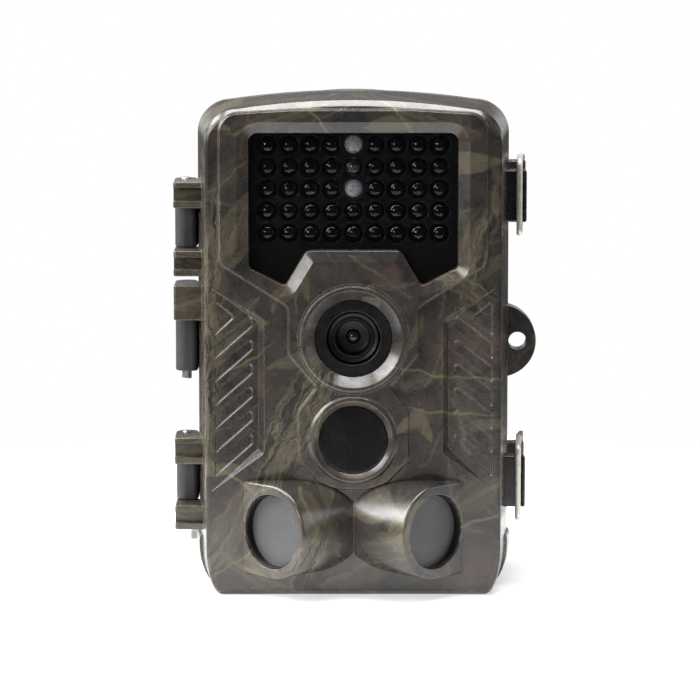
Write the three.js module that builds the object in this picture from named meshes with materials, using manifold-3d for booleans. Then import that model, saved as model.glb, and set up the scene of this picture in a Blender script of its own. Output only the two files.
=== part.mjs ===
// Trail camera: a hinged two-part weatherproof case with an infrared flash, a lens,
// three motion sensor windows, two draw latches and a battery tray.
// Units are millimetres. +Z is up and -Y is the front. X = 0 is the lens axis, Z = 0 is the
// flat base and Y = 0 is half way between the sensor hood's crest and the tree bracket's back.

import * as THREE from 'three';
import { mergeVertices } from 'three/addons/utils/BufferGeometryUtils.js';
import Module from 'manifold-3d';

const wasm = await Module();
wasm.setup();

// ---------------------------------------------------------------- driving dimensions

const GAP = 0.15;                // gap between fitted pieces

// the case
const HEIGHT = 135;
const HALF_WIDTH = 42.4;         // at the joint between the two halves
const FACE_Y = -21.7;            // flat front panel
const RIM_FRONT_Y = 2.3;         // edge of the front half
const RIM_REAR_Y = 2.5;          // edge of the rear half
const BACK_Y = 27;               // back wall of the rear half
const BRACKET_Y = 38;            // teeth of the tree bracket
const BOOT_HEIGHT = 14.5;        // wider foot of both halves
const BOOT_HALF_WIDTH = 43.2;
const WALL = 2.3;

// the raised plate on the front panel
const PLATE_Y = FACE_Y - 1;
const RING_Y = PLATE_Y - 0.7;    // lens ring and centre sensor ring

// the infrared flash
const LED_PITCH_X = 5.78;
const LED_PITCH_Z = 5.92;
const LED_COLUMNS = 9;
const LED_ROWS = 5;
const LED_TOP_Z = 121.9;
const LED_RADIUS = 2.4;
const MASK_HOLE_RADIUS = 2.65;
const WINDOW_Y = -19.9;          // front of the flash window
const MASK_Y = -18;              // front of the mask behind it
const LED_BOARD_Y = -10;

// the lens
const LENS_Z = 70.1;
const LENS_BORE = 10.4;

// the motion sensors
const PIR_Z = 42.7;
const PIR_BORE = 9.3;
const TUBE_Z = 18.75;            // side sensor tubes
const TUBE_RADIUS = 12.8;
const TUBE_BORE = 10.05;
const TUBE_FOOT_X = 29.6;        // where the tube's end face meets the panel
const TUBE_CENTRE = 10.3;        // along the end face from the panel to the bore's centre

// the hinge
const HINGE_X = -45.7;
const HINGE_Y = 2.4;
const HINGE_RADIUS = 3.05;
const PIN_RADIUS = 1.3;

// the latches
const LATCH_HEIGHTS = { upper: 106.7, lower: 28.3 };
const LATCH_HALF = 8.5;          // half of the lever's height
const LEVER_PIVOT = new THREE.Vector2(42.8, 12);
const BAIL_PIVOT = new THREE.Vector2(46, 12);
const WIRE_END = new THREE.Vector2(45, -7);
const WIRE_RADIUS = 0.8;

// the battery tray
const BAY_COUNT = 4;
const BAY_WIDTH = 15.4;
const BAY_WALL = 1.2;
const BAY_LOW_Z = 15.8;
const BAY_HIGH_Z = 121.3;
const TRAY_Y = [5, 22.5];

// ---------------------------------------------------------------- solids and booleans

const v2 = (x, y) => new THREE.Vector2(x, y);

/** Turns a closed geometry into a solid. */
function solid(geometry) {
  const bare = geometry.index ? geometry.toNonIndexed() : geometry.clone();
  bare.deleteAttribute('normal');
  bare.deleteAttribute('uv');
  const merged = mergeVertices(bare, 1e-4);
  return new wasm.Manifold(new wasm.Mesh({
    numProp: 3,
    vertProperties: new Float32Array(merged.attributes.position.array),
    triVerts: new Uint32Array(merged.index.array),
  }));
}

/** Turns a solid back into a geometry. */
function geometryOf(body) {
  const mesh = body.getMesh();
  const geometry = new THREE.BufferGeometry();
  geometry.setAttribute('position', new THREE.BufferAttribute(new Float32Array(mesh.vertProperties), 3));
  geometry.setIndex(new THREE.BufferAttribute(new Uint32Array(mesh.triVerts), 1));
  geometry.computeVertexNormals();
  return geometry;
}

const join = (first, ...others) => others.reduce((sum, part) => sum.add(part), first);
const cut = (first, ...others) => others.reduce((rest, part) => rest.subtract(part), first);

/** A closed outline from a list of points. */
const outlineShape = (points) => new THREE.Shape(points);

/** Extrudes an outline drawn in x, z from y0 to y1. */
function prismY(shape, y0, y1, segments = 8) {
  const geometry = new THREE.ExtrudeGeometry(shape, { depth: y1 - y0, bevelEnabled: false, curveSegments: segments });
  geometry.rotateX(Math.PI / 2);
  geometry.translate(0, y1, 0);
  return solid(geometry);
}

/** Extrudes an outline drawn in x, y from z0 to z1. */
function prismZ(shape, z0, z1, segments = 8) {
  const geometry = new THREE.ExtrudeGeometry(shape, { depth: z1 - z0, bevelEnabled: false, curveSegments: segments });
  geometry.translate(0, 0, z0);
  return solid(geometry);
}

/** Extrudes an outline drawn in y, z from x0 to x1. */
function prismX(shape, x0, x1, segments = 8) {
  const geometry = new THREE.ExtrudeGeometry(shape, { depth: x1 - x0, bevelEnabled: false, curveSegments: segments });
  const axes = new THREE.Matrix4().makeBasis(
    new THREE.Vector3(0, 1, 0), new THREE.Vector3(0, 0, 1), new THREE.Vector3(1, 0, 0));
  geometry.applyMatrix4(axes);
  geometry.translate(x0, 0, 0);
  return solid(geometry);
}

function box(x0, x1, y0, y1, z0, z1) {
  const geometry = new THREE.BoxGeometry(x1 - x0, y1 - y0, z1 - z0);
  geometry.translate((x0 + x1) / 2, (y0 + y1) / 2, (z0 + z1) / 2);
  return solid(geometry);
}

/** A turned solid about the y axis at x, z. Its profile lists [radius, y] and closes on the axis. */
function turnedY(profile, x, z, segments = 28) {
  const points = profile.map(([radius, y]) => v2(radius, y));
  const ring = profile[0][0] > 0;
  if (ring) points.push(points[0].clone());
  const geometry = new THREE.LatheGeometry(points, segments);
  geometry.translate(x, 0, z);
  return outward(geometry);
}

/** A turned solid about the z axis at x, y. */
function turnedZ(profile, x, y, segments = 24) {
  const points = profile.map(([radius, z]) => v2(radius, z));
  const ring = profile[0][0] > 0;
  if (ring) points.push(points[0].clone());
  const geometry = new THREE.LatheGeometry(points, segments);
  geometry.rotateX(Math.PI / 2);
  geometry.translate(x, y, 0);
  return outward(geometry);
}

/** Makes a solid of a geometry whose faces may all point inwards. */
function outward(geometry) {
  const bare = geometry.toNonIndexed();
  bare.deleteAttribute('normal');
  bare.deleteAttribute('uv');
  const merged = mergeVertices(bare, 1e-4);
  const p = merged.attributes.position;
  const faces = [];
  let volume = 0;
  const a = new THREE.Vector3();
  const b = new THREE.Vector3();
  const c = new THREE.Vector3();
  for (let i = 0; i < merged.index.count; i += 3) {
    const face = [0, 1, 2].map((k) => merged.index.getX(i + k));
    if (new Set(face).size < 3) continue;
    faces.push(face);
    a.fromBufferAttribute(p, face[0]);
    b.fromBufferAttribute(p, face[1]);
    c.fromBufferAttribute(p, face[2]);
    volume += a.dot(b.cross(c));
  }
  const order = volume < 0 ? faces.map(([i, j, k]) => [i, k, j]) : faces;
  merged.setIndex(order.flat());
  return solid(merged);
}

/** A round bar between two points. */
function rod(from, to, radius, segments = 16) {
  const along = new THREE.Vector3().subVectors(to, from);
  const geometry = new THREE.CylinderGeometry(radius, radius, along.length(), segments);
  const turn = new THREE.Quaternion().setFromUnitVectors(new THREE.Vector3(0, 1, 0), along.clone().normalize());
  geometry.applyQuaternion(turn);
  const middle = from.clone().add(to).multiplyScalar(0.5);
  geometry.translate(middle.x, middle.y, middle.z);
  return solid(geometry);
}

const rodX = (x0, x1, y, z, radius, n) => rod(new THREE.Vector3(x0, y, z), new THREE.Vector3(x1, y, z), radius, n);
const rodY = (y0, y1, x, z, radius, n) => rod(new THREE.Vector3(x, y0, z), new THREE.Vector3(x, y1, z), radius, n);
const rodZ = (z0, z1, x, y, radius, n) => rod(new THREE.Vector3(x, y, z0), new THREE.Vector3(x, y, z1), radius, n);

/** Skins matching rings of points into one closed solid. */
function loft(sections) {
  const area = THREE.ShapeUtils.area(sections[0].map((point) => v2(point.x, point.z)));
  const rings = area < 0 ? sections.map((ring) => [...ring].reverse()) : sections;
  const count = rings[0].length;
  const positions = rings.flat().flatMap((point) => [point.x, point.y, point.z]);
  const index = [];
  for (let ring = 0; ring + 1 < rings.length; ring += 1) {
    for (let i = 0; i < count; i += 1) {
      const a = ring * count + i;
      const b = ring * count + (i + 1) % count;
      index.push(a, b, a + count, b, b + count, a + count);
    }
  }
  const flat = rings[0].map((point) => v2(point.x, point.z));
  const last = (rings.length - 1) * count;
  for (const [i, j, k] of THREE.ShapeUtils.triangulateShape(flat, [])) {
    index.push(i, k, j);
    index.push(last + i, last + j, last + k);
  }
  const geometry = new THREE.BufferGeometry();
  geometry.setAttribute('position', new THREE.Float32BufferAttribute(positions, 3));
  geometry.setIndex(index);
  return outward(geometry);
}

// ---------------------------------------------------------------- outlines

/** Points along a quarter ellipse, from the side to the flat. */
function quarter(cx, cz, rx, rz, start, steps) {
  const points = [];
  for (let i = 0; i <= steps; i += 1) {
    const angle = start + (i / steps) * (Math.PI / 2);
    points.push(v2(cx + rx * Math.cos(angle), cz + rz * Math.sin(angle)));
  }
  return points;
}

/** The case's front outline: an arched top, round corners and a flat base. */
function caseOutline({ half, low, high, sag = 2.4, top = 8.8, footX = 6, footZ = 12 }) {
  const edge = high - sag;
  const points = [
    ...quarter(half - footX, low + footZ, footX, footZ, -Math.PI / 2, 5),
    ...quarter(half - top, edge - top, top, top, 0, 5),
  ];
  for (let i = 1; i < 10; i += 1) {
    const x = (half - top) * (1 - i / 5);
    points.push(v2(x, high - sag * (x / (half - top)) ** 2));
  }
  points.push(...quarter(-half + top, edge - top, top, top, Math.PI / 2, 5));
  points.push(...quarter(-half + footX, low + footZ, footX, footZ, Math.PI, 5));
  return points;
}

const ringAt = (points, y) => points.map((point) => new THREE.Vector3(point.x, y, point.y));
const caseRing = (y, sizes) => ringAt(caseOutline(sizes), y);

/** The foot of one half, wider than the case above it. */
function boot(sections) {
  const rings = sections.map(([y, half, low]) => ringAt([
    ...quarter(half - 6, low + 12, 6, 12, -Math.PI / 2, 5),
    ...quarter(half - 1.5, BOOT_HEIGHT - 1.5, 1.5, 1.5, 0, 3),
    ...quarter(-half + 1.5, BOOT_HEIGHT - 1.5, 1.5, 1.5, Math.PI / 2, 3),
    ...quarter(-half + 6, low + 12, 6, 12, Math.PI, 5),
  ], y));
  return loft(rings);
}

/** The raised plate's outline, right half from the top down, then mirrored. */
function plateOutline() {
  const right = [
    [31.5, 130.6], [34.6, 128.6], [35.8, 125.2], [35.8, 90.5], [19.4, 80.3], [17.3, 77],
    [17.3, 68.1], [15.6, 62.4], [9.6, 57], [12.6, 53.2], [14.6, 50.1], [14.6, 37.5],
    [12.4, 33.4], [8.8, 31.1], [4.5, 29.4],
  ];
  const left = right.map(([x, z]) => [-x, z]).reverse();
  const top = [[-16, 131.4], [0, 131.9], [16, 131.4]];
  return [...right, [0, 28.9], ...left, ...top].map(([x, z]) => v2(x, z));
}

/** The flash window's outline grown by a margin, with the notch above the lens. */
function windowOutline(margin) {
  const m = margin;
  const right = [
    [26 + m * 0.4, 125.3 + m], [27.4 + m * 0.7, 124.7 + m * 0.7], [28 + m, 123.3 + m * 0.4],
    [28 + m, 89.3 - m * 0.6], [19.1 + m * 0.5, 84.8 - m * 0.9], [17.7 - m * 0.5, 85.4 - m * 0.9],
    [14.5 - m * 0.9, 90.8 - m * 0.5], [11.5 - m * 0.6, 93.4 - m * 0.9], [9.7 - m * 0.2, 94 - m],
  ];
  const left = right.map(([x, z]) => [-x, z]).reverse();
  return [...right, ...left].map(([x, z]) => v2(x, z));
}

/** Calls make once for every flash position, with its column, row, x and z. */
function eachLed(make) {
  const made = [];
  for (let row = 0; row < LED_ROWS; row += 1) {
    for (let column = 0; column < LED_COLUMNS; column += 1) {
      const x = (column - (LED_COLUMNS - 1) / 2) * LED_PITCH_X;
      const z = LED_TOP_Z - row * LED_PITCH_Z;
      made.push(make({ column, row, x, z }));
    }
  }
  return made;
}

const isCentre = ({ column, row }) => column === 4 && row < 3;

// ---------------------------------------------------------------- pieces and looks

const looks = {
  camo: { color: 0x4a4438, roughness: 0.5, metalness: 0 },
  black: { color: 0x18181a, roughness: 0.55, metalness: 0 },
  rubber: { color: 0x1b1b1c, roughness: 0.85, metalness: 0 },
  greyRubber: { color: 0x8e9092, roughness: 0.7, metalness: 0 },
  smoked: { color: 0x0b0b0d, roughness: 0.08, metalness: 0 },
  steel: { color: 0xc8c9cb, roughness: 0.3, metalness: 1 },
  brass: { color: 0xb08d4a, roughness: 0.35, metalness: 1 },
  board: { color: 0x1f4a33, roughness: 0.5, metalness: 0 },
  diffuser: { color: 0x7c7e82, roughness: 0.45, metalness: 0 },
  glass: { color: 0x20202c, roughness: 0.03, metalness: 0 },
  key: { color: 0x55585c, roughness: 0.6, metalness: 0 },
};

const camera = new THREE.Group();

function piece(name, body, look) {
  const mesh = new THREE.Mesh(geometryOf(body), new THREE.MeshStandardMaterial(looks[look]));
  mesh.name = name;
  camera.add(mesh);
  return mesh;
}

// ---------------------------------------------------------------- front shell

/** One side sensor tube's axes: from its bore's centre outwards, and along its end face. */
function tubeAxes(side) {
  const axis = new THREE.Vector3(side, -1, 0).normalize();
  const along = new THREE.Vector3(-side, -1, 0).normalize();
  const foot = new THREE.Vector3(side * TUBE_FOOT_X, FACE_Y, TUBE_Z);
  const centre = foot.clone().addScaledVector(along, TUBE_CENTRE);
  return { axis, along, foot, centre };
}

/** A round bar on a side tube's axis, between two depths behind the end face. */
function tubeRod(side, depth0, depth1, radius, segments = 28) {
  const { axis, centre } = tubeAxes(side);
  const from = centre.clone().addScaledVector(axis, -depth0);
  const to = centre.clone().addScaledVector(axis, -depth1);
  return rod(from, to, radius, segments);
}

/** How far the pocket's sloping floor lies behind the panel at x. */
const pocketDepth = (x, outer = 38.4) => (outer - x) * 0.17;

/** The wedge-shaped pocket in one side of the panel, or a thicker copy of it. */
function pocket(side, grow) {
  const outer = 38.4 + grow;
  const inner = 24 - grow;
  const mouthCorners = [
    [outer, 83.9 + grow], [inner, 75.2 + grow], [inner, 38.9 - grow], [outer, 28.4 - grow],
  ];
  const floorCorners = [
    [outer, 83.9 + grow], [inner + 1.6, 74.4 + grow], [inner + 1.6, 40 - grow], [outer, 28.4 - grow],
  ];
  const at = (y) => mouthCorners.map(([x, z]) => new THREE.Vector3(side * x, y, z));
  const floor = floorCorners.map(([x, z]) => (
    new THREE.Vector3(side * x, FACE_Y + pocketDepth(x, outer) + grow + 0.01, z)));
  return loft([at(FACE_Y - 3), at(FACE_Y), floor]);
}

/** One slanting rib groove in the pocket's floor, from its list of corners. */
function groove(side, corners) {
  const mouth = corners.map(([x, z]) => new THREE.Vector3(side * x, FACE_Y - 3, z));
  const floor = corners.map(([x, z]) => new THREE.Vector3(side * x, FACE_Y + pocketDepth(x) + 0.55, z));
  return loft([mouth, floor]);
}

function pocketGrooves(side) {
  const grooves = [groove(side, [[37.3, 80.4], [31.8, 75.9], [37.3, 71]])];
  for (let i = 1; i < 7; i += 1) {
    const z = 71 - i * 6.4;
    grooves.push(groove(side, [[37.3, z + 4.2], [27.2, z + 12], [27.2, z + 8.7], [37.3, z]]));
  }
  return grooves;
}

/** A hinge lug of the front half: a rounded block with an arm along the case's side. */
function hingeLug(z0, z1) {
  const arm = box(HINGE_X - HINGE_RADIUS, -40.6, -9, HINGE_Y, z0, z1);
  const corner = new THREE.Shape();
  corner.absarc(HINGE_X, HINGE_Y, HINGE_RADIUS, 0, Math.PI * 2, false);
  const eye = prismZ(corner, z0, z1, 12);
  const clear = box(-42.7, -38, RIM_FRONT_Y, 8, z0 - 1, z1 + 1);
  return cut(join(arm, eye), clear);
}

/** A pocket in a lug's front, open at its outer side, that leaves a flange above and below. */
const lugPocket = (z0, z1) => box(HINGE_X - 4, -41, -10, -6.2, z0, z1);

const PIN_SPANS = {
  upper: { lugs: [[103.95, 111.1], [85.4, 92.35]], barrel: [92.5, 103.8] },
  middle: { lugs: [[73.35, 82.9]], barrel: [58.3, 73.2] },
  lower: { lugs: [[33.75, 41.1], [15.7, 22.35]], barrel: [22.5, 33.6] },
};

/** The boss that a latch's wire hooks over. */
function keeper(z) {
  const profile = outlineShape([
    v2(41, -6.1), v2(46.05, -6.1), v2(46.1, -6.75), v2(46.4, -6.85), v2(47, -6.4),
    v2(47, -2.6), v2(45.6, -1.2), v2(41, -1.2),
  ]);
  const boss = prismZ(profile, z - 6.8, z + 7.4);
  const lip = box(40, 43.9, -6.2, -6.05, z - 9, z + 9);
  return cut(boss, lip);
}

/** One half of the padlock ear. */
function padlockEar(y0, y1, reach = 41) {
  const ear = new THREE.Shape();
  ear.moveTo(reach, 57);
  ear.lineTo(42.2, 57);
  ear.absarc(39.95, 66.7, 10, -1.33, 1.33, false);
  ear.lineTo(reach, 76.4);
  const hole = new THREE.Path();
  hole.absarc(44.9, 66.7, 2.45, 0, Math.PI * 2, true);
  ear.holes.push(hole);
  return prismY(ear, y0, y1, 12);
}

function frontShell() {
  const outer = loft([
    caseRing(RIM_FRONT_Y, { half: HALF_WIDTH, low: 0, high: HEIGHT }),
    caseRing(-20.3, { half: 39.95, low: 0, high: 134.2, footX: 4.4, footZ: 12.6 }),
    caseRing(-21.3, { half: 39.55, low: 0.45, high: 133.8, footX: 4, footZ: 12.8 }),
    caseRing(FACE_Y, { half: 39, low: 1.3, high: 132.8, top: 8.2, footX: 3.6, footZ: 12.6 }),
  ]);
  const foot = boot([[RIM_FRONT_Y, BOOT_HALF_WIDTH, 0], [-8, BOOT_HALF_WIDTH - 1.1, 0]]);
  const plate = prismY(outlineShape(plateOutline()), PLATE_Y, FACE_Y + 0.5);
  const lensRing = turnedY([[0, RING_Y], [14.4, RING_Y], [15.1, PLATE_Y + 0.1], [15.1, -17.5], [0, -17.5]],
    0, LENS_Z, 32);
  const pirRing = turnedY([
    [0, RING_Y], [11.6, RING_Y], [12.3, PLATE_Y + 0.1], [11.9, -21.4], [11.9, -19], [0, -19],
  ], 0, PIR_Z, 32);
  const lugs = Object.values(PIN_SPANS).flatMap((span) => span.lugs).map(([z0, z1]) => hingeLug(z0, z1));
  const keepers = Object.values(LATCH_HEIGHTS).map((z) => keeper(z));
  const body = join(outer, foot, plate, lensRing, pirRing, ...keepers, ...lugs, padlockEar(-0.7, RIM_FRONT_Y));

  let cavity = loft([
    caseRing(RIM_FRONT_Y + 1, { half: 40.1, low: WALL, high: HEIGHT - 2.2, top: 7, footX: 4.5, footZ: 10 }),
    caseRing(-19.2, { half: 37.7, low: WALL, high: 132, top: 6.6, footX: 3, footZ: 10.6 }),
  ]);
  cavity = cut(cavity, pocket(1, 2), pocket(-1, 2), lensRing, pirRing);
  const bevel = loft([
    ringAt(windowOutline(2.95), PLATE_Y - 0.15),
    ringAt(windowOutline(0), WINDOW_Y - 0.1),
  ]);
  const opening = prismY(outlineShape(windowOutline(0)), -21, -17);
  const lensCone = turnedY([[0, RING_Y - 0.3], [13.3, RING_Y - 0.3], [LENS_BORE, -20.8], [0, -20.8]], 0, LENS_Z, 32);
  const pirCone = turnedY([[0, RING_Y - 0.3], [10.6, RING_Y - 0.3], [PIR_BORE, -22.4], [0, -22.4]], 0, PIR_Z, 32);
  const pins = Object.values(PIN_SPANS).map(({ lugs: spans }) => {
    const low = Math.min(...spans.map((span) => span[0]));
    const high = Math.max(...spans.map((span) => span[1]));
    return rodZ(low + 1.2, high + 1, HINGE_X, HINGE_Y, PIN_RADIUS + 0.06, 16);
  });
  const middleBlind = rodZ(70, 81.6, HINGE_X, HINGE_Y, PIN_RADIUS + 0.06, 16);
  pins[1] = middleBlind;
  return cut(
    body, cavity, bevel, opening,
    rodY(-26, -10, 0, LENS_Z, LENS_BORE, 32), lensCone,
    rodY(-26, -10, 0, PIR_Z, PIR_BORE, 32), pirCone,
    pocket(1, 0), pocket(-1, 0), ...pocketGrooves(1), ...pocketGrooves(-1),
    tubeRod(1, -1, 20, TUBE_BORE), tubeRod(-1, -1, 20, TUBE_BORE),
    lugPocket(105.8, 109.6), lugPocket(87.2, 90.6), lugPocket(35.6, 39.6), lugPocket(17.4, 20.6), ...pins,
  );
}

piece('front_shell', frontShell(), 'camo');

// ---------------------------------------------------------------- side sensor hood

/** One D-shaped tube at 45 degrees, cut off at the middle and at the panel. */
function sensorTube(side) {
  const { axis, along, foot } = tubeAxes(side);
  const profile = new THREE.Shape();
  profile.moveTo(-30, -TUBE_RADIUS);
  profile.lineTo(TUBE_CENTRE, -TUBE_RADIUS);
  profile.absarc(TUBE_CENTRE, 0, TUBE_RADIUS, -Math.PI / 2, Math.PI / 2, false);
  profile.lineTo(-30, TUBE_RADIUS);
  const geometry = new THREE.ExtrudeGeometry(profile, {
    depth: 48.8, bevelEnabled: true, bevelThickness: 0.5, bevelSize: 0.5, bevelOffset: -0.5,
    bevelSegments: 1, curveSegments: 14,
  });
  geometry.translate(0, 0, -49.3);
  const up = new THREE.Vector3(0, 0, 1);
  const outwards = new THREE.Vector3().crossVectors(along, up);
  const direct = outwards.dot(axis) > 0;
  const basis = new THREE.Matrix4().makeBasis(along, direct ? up : up.clone().negate(), axis);
  basis.setPosition(foot);
  geometry.applyMatrix4(basis);
  const keep = side > 0 ? box(0, 60, -60, FACE_Y - 0.08, 0, 40) : box(-60, 0, -60, FACE_Y - 0.08, 0, 40);
  return solid(geometry).intersect(keep);
}

piece('side_sensor_hood', cut(
  join(sensorTube(1), sensorTube(-1)),
  tubeRod(1, -2, 20, TUBE_BORE), tubeRod(-1, -2, 20, TUBE_BORE),
), 'camo');

for (const [name, side] of [['left', -1], ['right', 1]]) {
  piece(`${name}_sensor_window`, tubeRod(side, 2.8, 3.6, TUBE_BORE - GAP), 'diffuser');
  const can = tubeRod(side, 14.5, 18.5, 4.1, 20);
  piece(`${name}_sensor`, join(can, tubeRod(side, 18.2, 18.8, 4.6, 20)), 'steel');
}

// ---------------------------------------------------------------- flash

piece('flash_window', prismY(outlineShape(windowOutline(-GAP)), WINDOW_Y, WINDOW_Y + 1.2), 'smoked');

{
  const holes = eachLed(({ x, z }) => rodY(MASK_Y - 1, MASK_Y + 2, x, z, MASK_HOLE_RADIUS, 6));
  piece('flash_mask', cut(prismY(outlineShape(windowOutline(0.9)), MASK_Y, MASK_Y + 1.2), ...holes), 'black');
}

/** A flash lamp: a round body with a domed tip. */
function led(x, z, base = LED_BOARD_Y + 0.5) {
  const tip = MASK_Y - 0.5;
  const profile = [
    [0, tip], [LED_RADIUS, tip + 1.6], [LED_RADIUS, base], [0, base],
  ];
  return turnedY(profile, x, z, 6);
}

{
  const board = prismY(outlineShape(windowOutline(1.4)), LED_BOARD_Y, LED_BOARD_Y + 1.6);
  const lamps = eachLed((place) => (isCentre(place) ? null : led(place.x, place.z))).filter(Boolean);
  piece('infrared_flash_board', join(board, ...lamps), 'board');
}

const centreNames = ['upper_indicator_lamp', 'light_sensor', 'lower_indicator_lamp'];
centreNames.forEach((name, row) => {
  piece(name, led(0, LED_TOP_Z - row * LED_PITCH_Z, LED_BOARD_Y - GAP), row === 1 ? 'diffuser' : 'glass');
});

// ---------------------------------------------------------------- lens

piece('lens_hood', turnedY([
  [7.1, -20.6], [10.25, -20.6], [10.25, -13.4], [7.1, -13.4],
], 0, LENS_Z, 32), 'black');

piece('lens_barrel', turnedY([
  [4.8, -19.4], [6.9, -19.4], [6.9, -13.3], [4.2, -13.3], [4.2, -17], [4.8, -17.2],
], 0, LENS_Z, 24), 'black');

piece('lens_glass', turnedY([
  [0, -17.9], [2.2, -17.6], [4.05, -16.9], [4.05, -15.6], [0, -15.6],
], 0, LENS_Z, 20), 'glass');

{
  const holder = box(-12, 12, -13.1, -7.75, LENS_Z - 8, LENS_Z + 8);
  const slot = box(-11, 14, -11.6, -10.2, LENS_Z - 4.2, LENS_Z + 4.2);
  piece('lens_holder', cut(holder, slot, rodY(-14, -7, 0, LENS_Z, 3.6, 24)), 'black');
  piece('infrared_cut_filter', box(-4.2, 4.2, -11.3, -10.5, LENS_Z - 3.9, LENS_Z + 3.9), 'glass');
}

// ---------------------------------------------------------------- centre sensor

piece('centre_sensor_window', rodY(-22.25, -21.3, 0, PIR_Z, PIR_BORE - 0.1, 32), 'black');
piece('centre_sensor', join(
  rodY(-12.4, -8, 0, PIR_Z, 4.1, 20), rodY(-8.4, -7.75, 0, PIR_Z, 4.6, 20)), 'steel');

// ---------------------------------------------------------------- electronics and inner cover

const BOARD_Y = [-7.6, -6];

piece('main_board', box(-34, 34, BOARD_Y[0], BOARD_Y[1], 9, 126), 'board');
piece('display', join(
  box(-25.5, 25.5, -5.8, -1.6, 88, 124), box(-21.5, 21.5, -1.7, -1.2, 91, 121)), 'smoked');

const KEY_Z = 66;
const KEYS = {
  menu_button: [-24, KEY_Z], left_button: [-11, KEY_Z], ok_button: [0, KEY_Z], right_button: [11, KEY_Z],
  up_button: [0, KEY_Z + 11], down_button: [0, KEY_Z - 11],
};
const KEY_RADIUS = 3.6;
const SWITCH_X = 26;

{
  const cover = loft([
    caseRing(-0.6, { half: 39.4, low: 3, high: 132, top: 6.6, footX: 4.4, footZ: 9.6 }),
    caseRing(1.2, { half: 39.7, low: 2.7, high: 132.3, top: 6.8, footX: 4.4, footZ: 9.8 }),
  ]);
  const keyHoles = Object.values(KEYS).map(([x, z]) => rodY(-2, 3, x, z, KEY_RADIUS + 0.3, 14));
  const screen = box(-21, 21, -2, 3, 91.5, 120.5);
  const switchSlot = box(SWITCH_X - 2.2, SWITCH_X + 2.2, -2, 3, KEY_Z - 7, KEY_Z + 7);
  const usb = box(-24.3, -15.7, -2, 3, 17.7, 22.7);
  const card = box(1.5, 28.5, -2, 3, 18, 22.4);
  piece('inner_cover', cut(cover, ...keyHoles, screen, switchSlot, usb, card), 'black');
}

for (const [name, [x, z]] of Object.entries(KEYS)) {
  const profile = [[0, -3], [KEY_RADIUS, -3], [KEY_RADIUS, 1.6], [KEY_RADIUS - 0.5, 2], [0, 2]];
  piece(name, turnedY(profile, x, z, 14), 'key');
}

piece('mode_switch', join(
  box(SWITCH_X - 1.9, SWITCH_X + 1.9, -3.4, 1.4, KEY_Z - 6.6, KEY_Z - 0.4),
  box(SWITCH_X - 1.4, SWITCH_X + 1.4, 1.3, 2.1, KEY_Z - 5, KEY_Z - 2)), 'key');

piece('usb_socket', cut(
  box(-24, -16, -5.8, 1, 18, 22.4), box(-23.4, -16.6, -3.5, 2, 18.6, 21.8)), 'steel');
piece('card_slot', cut(
  box(1.8, 28.2, -5.8, 0.9, 18.3, 22.1), box(2.8, 27.2, -4.5, 2, 19, 21.5)), 'steel');

// ---------------------------------------------------------------- rear shell

const DC_Z = 11;
const DC_Y = 13;

/** The lug that carries a latch's pin. */
function latchLug(z) {
  const lug = new THREE.Shape();
  lug.moveTo(37, 9);
  lug.lineTo(LEVER_PIVOT.x, LEVER_PIVOT.y - 2.2);
  lug.absarc(LEVER_PIVOT.x, LEVER_PIVOT.y, 2.2, -Math.PI / 2, Math.PI / 2, false);
  lug.lineTo(37, 16);
  return cut(prismZ(lug, z - 3, z + 3, 8), rodZ(z - 5, z + 5, LEVER_PIVOT.x, LEVER_PIVOT.y, 1.06, 12));
}

function gasketRing(grow, y0, y1) {
  const outer = caseOutline({ half: 40.2 + grow, low: 2.2 - grow, high: 132.8 + grow, top: 7.4, footX: 5, footZ: 10.5 });
  const inner = caseOutline({ half: 38.7 - grow, low: 3.7 + grow, high: 131.3 - grow, top: 6.6, footX: 4.4, footZ: 9.6 });
  return cut(prismY(outlineShape(outer), y0, y1), prismY(outlineShape(inner), y0 - 1, y1 + 1));
}

{
  const flange = loft([
    caseRing(RIM_REAR_Y, { half: HALF_WIDTH, low: 0, high: HEIGHT }),
    caseRing(6.2, { half: HALF_WIDTH - 0.2, low: 0, high: HEIGHT }),
  ]);
  const foot = boot([[RIM_REAR_Y, BOOT_HALF_WIDTH, 0], [9, BOOT_HALF_WIDTH - 0.6, 0]]);
  const housing = loft([
    caseRing(5, { half: 38.9, low: 0, high: 134.6, sag: 3, top: 12, footX: 6, footZ: 10 }),
    caseRing(23, { half: 37.9, low: 0, high: 134, sag: 3.4, top: 13, footX: 7, footZ: 10 }),
    caseRing(25.8, { half: 36.8, low: 0.9, high: 133, sag: 3.6, top: 13, footX: 8, footZ: 10 }),
    caseRing(BACK_Y, { half: 34.6, low: 2.8, high: 130.8, sag: 3.8, top: 12.6, footX: 8, footZ: 9 }),
  ]);
  const cavity = loft([
    caseRing(1, { half: 36.6, low: WALL, high: 131.6, sag: 3, top: 8.5, footX: 5, footZ: 8 }),
    caseRing(24.6, { half: 35.6, low: WALL, high: 130.8, sag: 3.2, top: 9.5, footX: 5, footZ: 8 }),
  ]);
  const insertBoss = rodZ(1, 10, 0, 13, 8, 24);
  const hollow = cut(join(flange, foot, housing), cavity);
  const lugs = Object.values(LATCH_HEIGHTS).map((z) => latchLug(z));
  const body = join(hollow, insertBoss, ...lugs, padlockEar(RIM_REAR_Y, 5.5));
  piece('rear_shell', cut(
    body, gasketRing(0.1, 1, 4),
    rodZ(-1, 9.2, 0, 13, 5.15, 24),
    rodX(-46, -30, DC_Y, DC_Z, 3.15, 20), rodX(-46, -38.2, DC_Y, DC_Z, 4.2, 24),
    rodY(20, 30, 0, 126, 1.7, 12), rodY(20, 30, 0, 22, 1.7, 12),
  ), 'camo');
}

piece('case_gasket', gasketRing(0, RIM_REAR_Y + 0.1, 3.85), 'rubber');

// ---------------------------------------------------------------- hinge

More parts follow.
